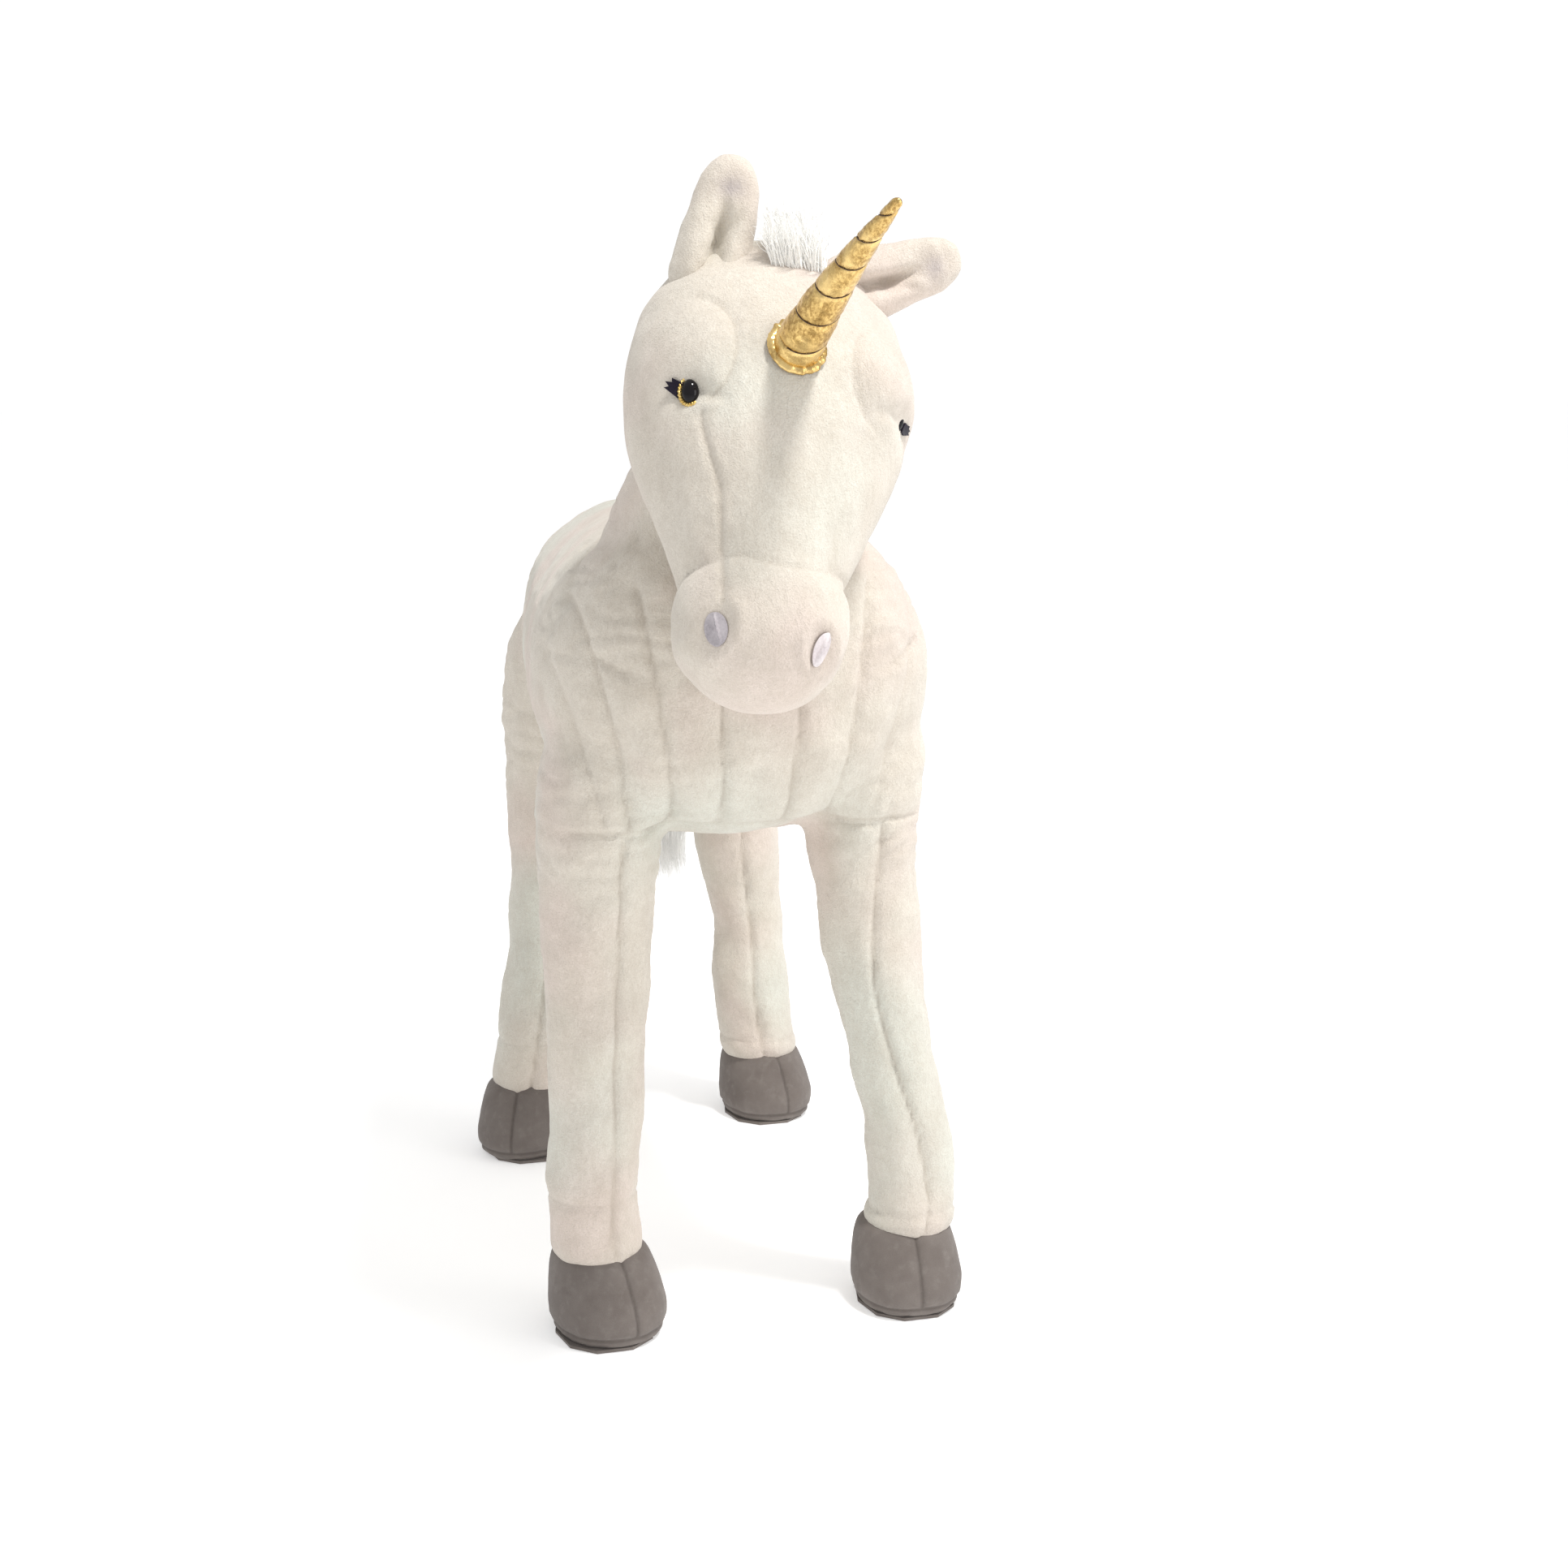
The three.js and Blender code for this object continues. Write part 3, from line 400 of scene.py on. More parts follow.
M = face_middles(body) - np.array(ground)
up_neck = (M - np.array(neck_base - ground)) @ np.array(neck_way)
from_neck = np.linalg.norm(M - np.array(neck_base - ground) - up_neck[:, None] * np.array(neck_way), axis=1)
taken = (up_neck > 0.040) & (from_neck < 0.18) & (M[:, 2] > 0.56)
neck_skin = part_off(body, "neck_skin", taken)
leg_skins = {}
for leg in LEGS:
    x, y = leg_line(leg, M[:, 2], 1), leg_line(leg, M[:, 2], 2)
    mask = (M[:, 2] < 0.452) & (np.hypot(M[:, 0] - x, M[:, 1] - y) < 0.078)
    leg_skins[leg] = part_off(body, f"{leg}_leg_skin", mask)
    taken |= mask
trunk_skin = part_off(body, "trunk_skin", ~taken)
bpy.data.objects.remove(body)

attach(trunk_skin, "torso")
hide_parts("torso_stuffing", "chest_strip", "flank_right", "flank_left")
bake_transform(neck_skin)
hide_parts("neck_cover", "neck_stuffing")
for leg, skin in leg_skins.items():
    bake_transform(skin)
    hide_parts(f"{leg}_leg_cover", f"{leg}_cuff", f"{leg}_leg_stuffing")


# ------------------------------------------------------------------ plush
# Short-pile plush: fine upright fibres that catch light at a grazing angle, brushed into soft patches, with
# painted shade darkening it down in the seam grooves. Ivory, with faint rose, green and lilac shades from
# patch to patch.
def group_of(name, inputs, outputs):
    tree = bpy.data.node_groups.new(name, "ShaderNodeTree")
    for label, kind, value in inputs:
        socket = tree.interface.new_socket(label, in_out="INPUT", socket_type=kind)
        socket.default_value = value
    for label, kind in outputs:
        tree.interface.new_socket(label, in_out="OUTPUT", socket_type=kind)
    return tree, tree.nodes.new("NodeGroupInput"), tree.nodes.new("NodeGroupOutput")


def node(tree, kind, inputs=(), **settings):
    made = tree.nodes.new(kind)
    for key, value in settings.items():
        setattr(made, key, value)
    for key, value in dict(inputs).items():
        if isinstance(value, bpy.types.NodeSocket):
            tree.links.new(value, made.inputs[key])
        else:
            made.inputs[key].default_value = value
    return made


def ramp(tree, source, low, high, from_value=0.0, to_value=1.0):
    made = node(
        tree, "ShaderNodeMapRange",
        {"Value": source, "From Min": low, "From Max": high, "To Min": from_value, "To Max": to_value}
    )
    return made.outputs["Result"]


def mix(tree, factor, first, second, blend="MIX"):
    made = tree.nodes.new("ShaderNodeMix")
    made.data_type = "RGBA"
    made.blend_type = blend
    for slot_number, value in ((0, factor), (6, first), (7, second)):
        if isinstance(value, bpy.types.NodeSocket):
            tree.links.new(value, made.inputs[slot_number])
        else:
            made.inputs[slot_number].default_value = value
    return made.outputs[2]


def pattern(tree, where, scale, detail=2.0, rough=0.5, stretch=(1, 1, 1)):
    placed = node(tree, "ShaderNodeMapping", {"Vector": where, "Scale": stretch}).outputs["Vector"]
    return node(
        tree, "ShaderNodeTexNoise", {"Vector": placed, "Scale": scale, "Detail": detail, "Roughness": rough}
    ).outputs["Fac"]


# The pile: a height that reads as fibre tips, and how far the colour drifts in each place.
pile_group, pile_in, pile_out = group_of(
    "plush_pile",
    [
        ("Vector", "NodeSocketVector", (0, 0, 0)), ("Fineness", "NodeSocketFloat", 900.0),
        ("Seam", "NodeSocketFloat", 0.0), ("Base", "NodeSocketColor", (0.8, 0.8, 0.8, 1)),
        ("Rose", "NodeSocketColor", (0.8, 0.7, 0.7, 1)), ("Green", "NodeSocketColor", (0.7, 0.8, 0.7, 1)),
        ("Deep", "NodeSocketColor", (0.6, 0.5, 0.4, 1)),
    ],
    [("Color", "NodeSocketColor"), ("Height", "NodeSocketFloat"), ("Roughness", "NodeSocketFloat")],
)
where = pile_in.outputs["Vector"]
fibres = node(
    pile_group, "ShaderNodeTexNoise",
    {"Vector": where, "Scale": pile_in.outputs["Fineness"], "Detail": 2.0, "Roughness": 0.7}
).outputs["Fac"]
tufts = pattern(pile_group, where, 260, 2.0, 0.6, (1, 1, 0.55))
brushed = pattern(pile_group, where, 38, 3.0, 0.6, (1, 1, 0.6))
patches = pattern(pile_group, where, 7.5, 2.0, 0.5)
drifts = pattern(pile_group, where, 5.0, 1.0, 0.5, (1.0, 1.3, 0.8))
colour = mix(
    pile_group, ramp(pile_group, patches, 0.46, 0.62), pile_in.outputs["Base"], pile_in.outputs["Rose"]
)
colour = mix(pile_group, ramp(pile_group, drifts, 0.50, 0.66), colour, pile_in.outputs["Green"])
colour = mix(pile_group, ramp(pile_group, brushed, 0.34, 0.70, 0.0, 0.26), colour, pile_in.outputs["Deep"])
colour = mix(pile_group, ramp(pile_group, fibres, 0.35, 0.66, 0.34, 0.0), colour, pile_in.outputs["Deep"])
colour = mix(pile_group, ramp(pile_group, tufts, 0.36, 0.60, 0.13, 0.0), colour, pile_in.outputs["Deep"])
# Painted shade: the colour darkens towards Deep along the pressed-in seam grooves, where shade would fall.
colour = mix(
    pile_group, ramp(pile_group, pile_in.outputs["Seam"], 0.35, 1.0, 0.0, 0.38), colour,
    pile_in.outputs["Deep"]
)
pile_group.links.new(colour, pile_out.inputs["Color"])
height = node(pile_group, "ShaderNodeMath", {0: fibres, 1: tufts}, operation="ADD").outputs[0]
height = node(
    pile_group, "ShaderNodeMath", {0: brushed, 1: 1.6, 2: height}, operation="MULTIPLY_ADD"
).outputs[0]
pile_group.links.new(height, pile_out.inputs["Height"])
pile_group.links.new(ramp(pile_group, brushed, 0.3, 0.7, 0.86, 1.0), pile_out.inputs["Roughness"])


def new_material(name):
    material = bpy.data.materials.new(name)
    material.use_nodes = True
    tree = material.node_tree
    return material, tree, tree.nodes["Principled BSDF"], node(tree, "ShaderNodeTexCoord").outputs["Object"]


def attribute(tree, name):
    return node(tree, "ShaderNodeAttribute", attribute_name=name).outputs["Fac"]


def relief(tree, shader, height, strength, distance):
    bumps = node(tree, "ShaderNodeBump", {"Strength": strength, "Distance": distance, "Height": height})
    tree.links.new(bumps.outputs["Normal"], shader.inputs["Normal"])


def constants(shader, *pairs):
    """Sets plain values on the shader's own sockets."""
    for key, value in pairs:
        shader.inputs[key].default_value = value


def plush(name, base, rose, green, deep, nap=0.0012, sheen=0.35, fineness=760.0):
    material, tree, shader, place = new_material(name)
    seam = attribute(tree, "seam")
    pile = node(tree, "ShaderNodeGroup", node_tree=pile_group)
    for key, value in (
        ("Fineness", fineness), ("Base", base), ("Rose", rose), ("Green", green), ("Deep", deep)
    ):
        pile.inputs[key].default_value = value
    tree.links.new(place, pile.inputs["Vector"])
    tree.links.new(seam, pile.inputs["Seam"])
    tree.links.new(pile.outputs["Color"], shader.inputs["Base Color"])
    tree.links.new(pile.outputs["Roughness"], shader.inputs["Roughness"])
    relief(tree, shader, pile.outputs["Height"], 0.75, nap)
    constants(
        shader,
        ("Specular IOR Level", 0.15),
        ("Sheen Weight", sheen),
        ("Sheen Roughness", 0.5),
        ("Sheen Tint", (1.0, 0.98, 0.95, 1)),
    )
    return material


def wear(piece, material):
    piece.data.materials.clear()
    piece.data.materials.append(material)


ivory_plush = plush(
    "ivory_plush", (0.715, 0.668, 0.592, 1), (0.720, 0.628, 0.568, 1), (0.685, 0.696, 0.628, 1),
    (0.42, 0.360, 0.29, 1)
)
for skin in (trunk_skin, neck_skin, *leg_skins.values()):
    wear(skin, ivory_plush)


# ------------------------------------------------------------------ hooves
# Grey-brown suede cloth over a stiff filling, with a seam down the front and one round the sole.
suede, tree, shader, place = new_material("hoof_suede")
grit = pattern(tree, place, 1500, 2.0, 0.7)
cloud = pattern(tree, place, 26, 3.0, 0.6)
scuff = pattern(tree, place, 90, 3.0, 0.65)
seam = attribute(tree, "seam")
colour = mix(tree, ramp(tree, cloud, 0.3, 0.7), (0.150, 0.128, 0.116, 1), (0.205, 0.180, 0.165, 1))
colour = mix(tree, ramp(tree, scuff, 0.52, 0.75, 0.0, 0.35), colour, (0.27, 0.245, 0.225, 1))
colour = mix(tree, ramp(tree, grit, 0.35, 0.65, 0.25, 0.0), colour, (0.10, 0.085, 0.075, 1))
# Painted shade: darker along the pressed-in seam grooves, where shade would fall.
colour = mix(tree, ramp(tree, seam, 0.3, 1.0, 0.0, 0.6), colour, (0.075, 0.062, 0.055, 1))
tree.links.new(colour, shader.inputs["Base Color"])
tree.links.new(ramp(tree, scuff, 0.3, 0.7, 0.95, 0.78), shader.inputs["Roughness"])
relief(tree, shader, grit, 0.5, 0.0004)
constants(
    shader,
    ("Specular IOR Level", 0.2),
    ("Sheen Weight", 0.12),
)

TOES = {"front_right": 18, "front_left": -2, "hind_right": -24, "hind_left": 14}
# Rows are height, half width, half depth, forwards.
HOOF = [
    (0.0755, 0.020, 0.022, 0.000), (0.0750, 0.034, 0.036, 0.000), (0.0690, 0.0415, 0.044, 0.001),
    (0.058, 0.0450, 0.049, 0.004), (0.044, 0.0480, 0.054, 0.008), (0.028, 0.0500, 0.058, 0.011),
    (0.015, 0.0500, 0.058, 0.012), (0.006, 0.0475, 0.055, 0.012), (0.0015, 0.0430, 0.050, 0.012),
    (0.0004, 0.034, 0.041, 0.012),
]
for leg, toe in TOES.items():
    _, x, y, _, _ = LEGS[leg][-1]
    turn = Matrix.Rotation(math.radians(toe), 3, "Z")
    rings = []
    for height, half, deep, ahead in HOOF:
        at = ground + Vector((x, y, height)) + turn @ Vector((0, -ahead, 0))
        flat = ring((0, 0, 0), (0, 0, 1), half, deep, square=2.15, sides=36)
        rings.append([at + turn @ p for p in flat])
    hoof = merged(f"{leg}_hoof", [loft(f"{leg}_hoof_form", rings)], 0.0024, 6)
    low = ground + Vector((x, y, 0))
    Q = (points_of(hoof) - np.array(low)) @ np.array(turn)
    face_seam = (np.abs(Q[:, 0]), (Q[:, 1] < 0.01) * stage_mask(Q[:, 2], 0.006, 0.010))
    sole_seam = (np.abs(Q[:, 2] - 0.0095), np.ones(len(Q)))
    sew(hoof, [face_seam, sole_seam], depth=0.0016, width=0.0024, pull=0.0014, spread=0.010)
    Q = points_of(hoof) - np.array(low)
    move_out(hoof, grain(Q, 0.030, 5.0) * 0.0012)
    flat = points_of(hoof)
    flat[:, 2] = np.maximum(flat[:, 2], ground.z + 0.0002)
    put_points(hoof, flat)
    shade_all_smooth(hoof)
    wear(hoof, suede)
    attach(hoof, f"{leg}_leg")
    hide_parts(f"{leg}_hoof_cover")
    frame["nodes"][f"{leg}_sole"].data.materials.clear()
    frame["nodes"][f"{leg}_sole"].data.materials.append(suede)


# ------------------------------------------------------------------ head
# The head is sewn from a strip down the face, two cheeks and a muzzle, and is packed with fibre. Its sizes
# count along the head from the middle of the skull, across it, and up towards the brow.
skull = (
    Matrix.Translation(pivot["head_nod"]) @ Matrix.Rotation(
        math.radians(-4), 4, "Z"
    ) @ Matrix.Rotation(math.radians(9), 4, "Y")
    @ Matrix.Translation((0.004, 0.007, 0.046)) @ Matrix.Rotation(math.radians(57 - 90), 4, "X")
)
# In this frame -Z runs down the head, -Y is the way the face looks and +X is its left.
HEAD = [
    # along, half width, half depth to the brow, half depth to the throat
    (-0.0800, 0.014, 0.010, 0.010), (-0.0760, 0.034, 0.024, 0.024), (-0.0640, 0.060, 0.042, 0.042),
    (-0.0400, 0.085, 0.059, 0.060), (-0.0050, 0.106, 0.074, 0.078), (0.0300, 0.1135, 0.082, 0.087),
    (0.0650, 0.1155, 0.085, 0.090), (0.1050, 0.1095, 0.081, 0.086), (0.1400, 0.0980, 0.075, 0.079),
    (0.1750, 0.0850, 0.069, 0.070), (0.2100, 0.0735, 0.063, 0.063), (0.2310, 0.0680, 0.059, 0.060),
    (0.2490, 0.0690, 0.061, 0.060), (0.2730, 0.0675, 0.060, 0.058), (0.2930, 0.0610, 0.054, 0.052),
    (0.3095, 0.0490, 0.044, 0.042), (0.3215, 0.0300, 0.028, 0.026), (0.3270, 0.0120, 0.011, 0.011),
]
HEAD_SIDES = 44
rings = []
for along, half, brow, throat in HEAD:
    points = []
    for i in range(HEAD_SIDES):
        turn = 2 * math.pi * i / HEAD_SIDES
        c, s = math.cos(turn), math.sin(turn)
        square = 2.25 if s > 0 else 2.0
        across = half * math.copysign(abs(c) ** (2 / square), c)
        out = (brow if s > 0 else throat) * math.copysign(abs(s) ** (2 / square), s)
        points.append(skull @ Vector((across, -out, -along)))
    rings.append(points)
head = merged("head_skin", [loft("head_form", rings)], 0.0030, 10, swell=0.006)


def on_face(piece):
    """A piece's points across, along and towards the brow."""
    local = points_of(piece) @ np.array(skull.inverted().to_3x3()).T + np.array(skull.inverted().translation)
    return local[:, 0], -local[:, 2], -local[:, 1]


EYES = {
    "right": (0.100, -0.077, 132), "left": (0.088, 0.096, 29.5)
}  # along the head, across it, angle round it
NOSES = {"right": (0.287, -0.041, 127), "left": (0.292, 0.037, 56)}
across, along, brow = on_face(head)
side = np.abs(across)
# Padded brows over the eyes, and a dent where each eye and nostril is drawn in.
front = stage_mask(brow, 0.0, 0.01)
shape = np.zeros(len(side))
for name, (up_to, out_to, _) in EYES.items():
    outward = np.sign(out_to)
    pad = (
        (across - outward * (0.070 if name == "right" else 0.078)) / 0.031
    ) ** 2 + ((along - 0.064) / 0.037) ** 2
    shape += np.exp(-(pad**1.5)) * (0.0058 if name == "right" else 0.0110)
    u, v = across - out_to, along - up_to
    shape -= np.exp(-((u / 0.014) ** 2 + (v / 0.012) ** 2)) * 0.0050
    # A crease runs from the eye down and inwards, under the pad.
    crease = np.abs((v - outward * -0.45 * (u + outward * 0.004)))
    shape -= bump(crease, 0.006) * window(
        outward * (out_to - across), 0.004, 0.030, 0.006
    ) * bump(v, 0.03) * 0.0030
for name, (up_to, out_to, _) in NOSES.items():
    far = np.hypot(across - out_to, (along - up_to) / 1.25)
    shape += bump(far - 0.0150, 0.0050) * 0.0022 - bump(far, 0.0105) * 0.0050
cheek = np.exp(
    -(((along - 0.120) / 0.055) ** 2)
) * (1 - stage_mask(brow, 0.0, 0.05)) * stage_mask(side, 0.04, 0.08)
puff = window(along, 0.236, 0.296, 0.012) * 0.002
crown = np.exp(-(((side) / 0.05) ** 2 + ((along - 0.02) / 0.05) ** 2)) * front * 0.003
move_out(head, shape * front + cheek * 0.003 + puff + crown)

across, along, brow = on_face(head)
side = np.abs(across)
# The strip down the face narrows to each nostril. The cross seam of the muzzle dips between them.
gusset_left = np.interp(along, [0.10, 0.127, 0.177, 0.233, 0.287], [0.060, 0.060, 0.048, 0.042, 0.040])
gusset_right = np.interp(along, [0.10, 0.127, 0.177, 0.233, 0.287], [0.066, 0.0655, 0.049, 0.0425, 0.041])
gusset = np.where(across < 0, gusset_right, gusset_left)
strength = np.where(across < 0, 0.8, 0.35)
seams = [(np.abs(side - gusset), front * strength * window(along, 0.116, 0.274, 0.006))]
for outward, middle in ((-1, -0.079), (1, 0.084)):
    pad = np.abs(np.sqrt(((across - middle) / 0.036) ** 2 + ((along - 0.066) / 0.050) ** 2) - 1) * 0.040
    inner = stage_mask(-outward * (across - middle), -0.004, 0.010)
    seams.append((pad, front * inner * window(along, 0.020, 0.112, 0.010) * (0.8 if outward < 0 else 0.6)))
cross = 0.231 + 0.009 * stage_mask(across, -0.040, 0.010) - 0.020 * stage_mask(across, 0.012, 0.075)
seams.append((np.abs(along - cross), np.where(brow > -0.02, 0.62, 0.5)))
seams.append((side, (brow < 0) * window(along, 0.02, 0.30, 0.01) * 0.8))
sew(head, seams, depth=0.0026, width=0.0026, pull=0.0026, spread=0.014)
local = points_of(head) - np.array(ground)
move_out(head, grain(local, 0.045, 8.0) * 0.0016 + grain(local, 0.018, 9.0) * 0.0005)
shade_all_smooth(head)
wear(head, ivory_plush)
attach(head, "head")
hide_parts("head_stuffing", "face_gusset", "cheek_right", "cheek_left", "muzzle_cover")


def spot(piece, along, angle, sink=0.0):
    """A frame on the head at an angle round it, with Z out of the cloth and Y up the head."""
    middle = skull @ Vector((0, 0, -along))
    way = skull.to_3x3() @ Vector((math.cos(math.radians(angle)), -0.74 * math.sin(math.radians(angle)), 0))
    _, at, normal, _ = piece.ray_cast(middle + way.normalized() * 0.3, -way.normalized())
    side = (skull.to_3x3() @ Vector((0, 0, 1))).cross(normal).normalized()
    turn = Matrix((side, normal.cross(side), normal)).transposed().to_4x4()
    return Matrix.Translation(at - normal * sink) @ turn


# ------------------------------------------------------------------ ears
# Thick folded flaps of the same plush, gathered at the foot so that two lobes meet in a crease, with a grey
# brushed lining in the hollow. The right one stands up and the left one lies outwards.
def cloth_look(
    name, colours, gloss=0.2, sheen=0.0, metal=0.0, rough=(0.5, 0.8), scale=200.0, rise=0.0003,
    stretch=(1, 1, 1)
):
    """A material whose colour and roughness drift between two values over a fine grain."""
    material, tree, shader, place = new_material(name)
    fine = pattern(tree, place, scale, 3.0, 0.65, stretch)
    broad = pattern(tree, place, scale * 0.16, 2.0, 0.5)
    colour = mix(tree, ramp(tree, fine, 0.32, 0.68), colours[0], colours[1])
    colour = mix(tree, ramp(tree, broad, 0.35, 0.70, 0.0, 0.5), colour, colours[2])
    tree.links.new(colour, shader.inputs["Base Color"])
    tree.links.new(ramp(tree, fine, 0.3, 0.7, rough[1], rough[0]), shader.inputs["Roughness"])
    relief(tree, shader, fine, 0.6, rise)
    constants(
        shader,
        ("Specular IOR Level", gloss),
        ("Sheen Weight", sheen),
        ("Metallic", metal),
    )
    return material


ear_plush = ivory_plush.copy()
ear_plush.name = "ear_plush"
tree = ear_plush.node_tree
smudge = attribute(tree, "smudge")
blur = pattern(tree, node(tree, "ShaderNodeTexCoord").outputs["Object"], 130, 3.0, 0.6)
share = node(
    tree, "ShaderNodeMath", {0: smudge, 1: ramp(tree, blur, 0.3, 0.7, 0.45, 1.0)}, operation="MULTIPLY"
).outputs[0]
base = tree.nodes["Principled BSDF"].inputs["Base Color"]
tree.links.new(mix(tree, share, base.links[0].from_socket, (0.40, 0.36, 0.37, 1)), base)
face_turn = Matrix.Rotation(math.radians(-4), 4, "Z") @ Matrix.Rotation(math.radians(9), 4, "Y")
# Rows are height, half width, half depth.
EAR = [
    (-0.016, 0.014, 0.012), (-0.008, 0.027, 0.018), (0.004, 0.0315, 0.0205), (0.022, 0.0325, 0.020),
    (0.045, 0.0300, 0.0185), (0.066, 0.0275, 0.0170), (0.084, 0.0250, 0.0155), (0.097, 0.0195, 0.0125),
    (0.1045, 0.0115, 0.008), (0.107, 0.004, 0.003),
]
EARS = {"right": (5, 1.0, -0.004), "left": (64, 0.93, -0.002)}  # lean in degrees, width, place of the crease
for name, (lean, width, crease_at) in EARS.items():
    foot = Matrix.Translation(pivot[f"ear_{name}_flop"]) @ face_turn @ Matrix.Rotation(
        math.radians(lean), 4, "Y"
    )
    rings = [
        [foot @ p for p in ring((0, 0, up), (0, 0, 1), half * width, deep, square=2.2, sides=32)] for up,
        half, deep in EAR
    ]
    ear = merged(f"{name}_ear_form", [loft(f"{name}_ear_loft", rings)], 0.0025, 8)
    away = np.array(foot.inverted())

    def in_ear(points):
        return points @ away[:3, :3].T + away[:3, 3]

    E = in_ear(points_of(ear))
    before = stage_mask(-E[:, 1], -0.002, 0.006)
    line = crease_at + 0.004 * np.sin(E[:, 2] * 30)
    crease = bump(E[:, 0] - line, 0.0055) * window(E[:, 2], -0.02, 0.060, 0.016)
    lobes = bump(np.abs(E[:, 0] - line) - 0.016, 0.011) * window(E[:, 2], -0.02, 0.035, 0.018)
    hollow = np.exp(-(((E[:, 0] - crease_at) / 0.015) ** 2 + ((E[:, 2] - 0.070) / 0.022) ** 2))
    fold = bump(
        E[:, 0] - line - 0.012 * (E[:, 2] - 0.03) / 0.03, 0.004
    ) * window(E[:, 2], 0.030, 0.060, 0.010)
    move_out(ear, before * (-0.0130 * crease + 0.0040 * lobes - 0.0055 * hollow - 0.0040 * fold))
    E = in_ear(points_of(ear))
    edge_seam = (np.abs(E[:, 1] - 0.002), np.full(len(E), 0.35) * stage_mask(E[:, 2], 0.0, 0.02))
    sew(
        ear, [edge_seam, (np.abs(E[:, 0] - line), before * window(E[:, 2], -0.02, 0.052, 0.012))],
        depth=0.0018, width=0.0022, pull=0.001
    )
    E = in_ear(points_of(ear))
    move_out(ear, grain(E, 0.016, 4.0 if name == "right" else 6.0) * 0.0011)
    E = in_ear(points_of(ear))
    stain = np.exp(
        -(((E[:, 0] - crease_at - 0.005) / 0.010) ** 2 + ((E[:, 2] - 0.080) / 0.0075) ** 2)
    ) * (E[:, 1] < 0) * 0.8
    keep_on(ear, "smudge", stain)
    M = in_ear(face_middles(ear))
    inside = (M[:, 1] < -0.003) & (
        ((M[:, 0] - crease_at - 0.004) / 0.0105) ** 2 + ((M[:, 2] - 0.079) / 0.0085) ** 2 < 1
    )
    ear_skin = part_off(ear, f"{name}_ear_skin", ~inside)
    ear_hollow = part_off(ear, f"{name}_ear_hollow", inside)
    bpy.data.objects.remove(ear)
    for piece, material, slot_name, node_name in (
        (ear_skin, ear_plush, "plush_ivory", f"{name}_ear"),
        (ear_hollow, ear_plush, "ear_lining", f"{name}_ear_lining"),
    ):
        wear(piece, material)
        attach(piece, f"ear_{name}")
        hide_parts(node_name)


# ------------------------------------------------------------------ eyes
# Polished black dome eyes on shanks, each with a twisted gold cord round its lower edge and a cut felt lash
# behind it.
def stand(piece, place):
    """Puts a finished piece in its place, and leaves its object at the origin."""
    piece.matrix_world = place
    choose(piece)
    bpy.ops.object.transform_apply(location=True, rotation=True, scale=True)
    bpy.ops.object.shade_smooth()
    return piece


def named(name, material, slot_name, body, *nodes):
    piece = bpy.context.active_object
    piece.name = piece.data.name = name
    wear(piece, material)
    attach(piece, body)
    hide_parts(*nodes)
    return piece


def lay_on(piece, place, lift):
    """Lays a flat piece on the head, each point lifted by its own height over the plush."""
    drop = (place.to_3x3() @ Vector((0, 0, -1))).normalized()
    for vertex, height in zip(piece.data.vertices, lift):
        start = place @ Vector((vertex.co.x, vertex.co.y, 0.03))
        hit, at, _, _ = head.ray_cast(start, drop)
        rest = at if hit else place @ Vector((vertex.co.x, vertex.co.y, 0))
        vertex.co = rest - drop * (height + vertex.co.z)
    piece.data.update()


eye_black = cloth_look(
    "eye_gloss", [(0.003, 0.003, 0.004, 1), (0.006, 0.005, 0.006, 1), (0.010, 0.008, 0.009, 1)], 0.22, 0.0,
    0.0, (0.03, 0.07), 90.0, 0.00001
)
gold_cord = cloth_look(
    "gold_cord", [(0.80, 0.56, 0.17, 1), (0.42, 0.25, 0.06, 1), (0.95, 0.78, 0.36, 1)], 0.5, 0.0, 0.9,
    (0.18, 0.42), 1500.0, 0.0004
)
lash_felt = cloth_look(
    "lash_felt", [(0.008, 0.007, 0.012, 1), (0.020, 0.014, 0.030, 1), (0.012, 0.010, 0.016, 1)], 0.1, 0.15,
    0.0, (0.8, 0.98), 900.0, 0.0003
)
LASH = [
    (-4, -6), (-10, -5.5), (-16, 0), (-23, 6.5), (-18.5, 7), (-21, 11.5), (-15, 10), (-14.5, 13.5), (-8, 9.5),
    (-3, 8),
]
CORD_RADIUS = 0.00155
bpy.context.view_layer.update()
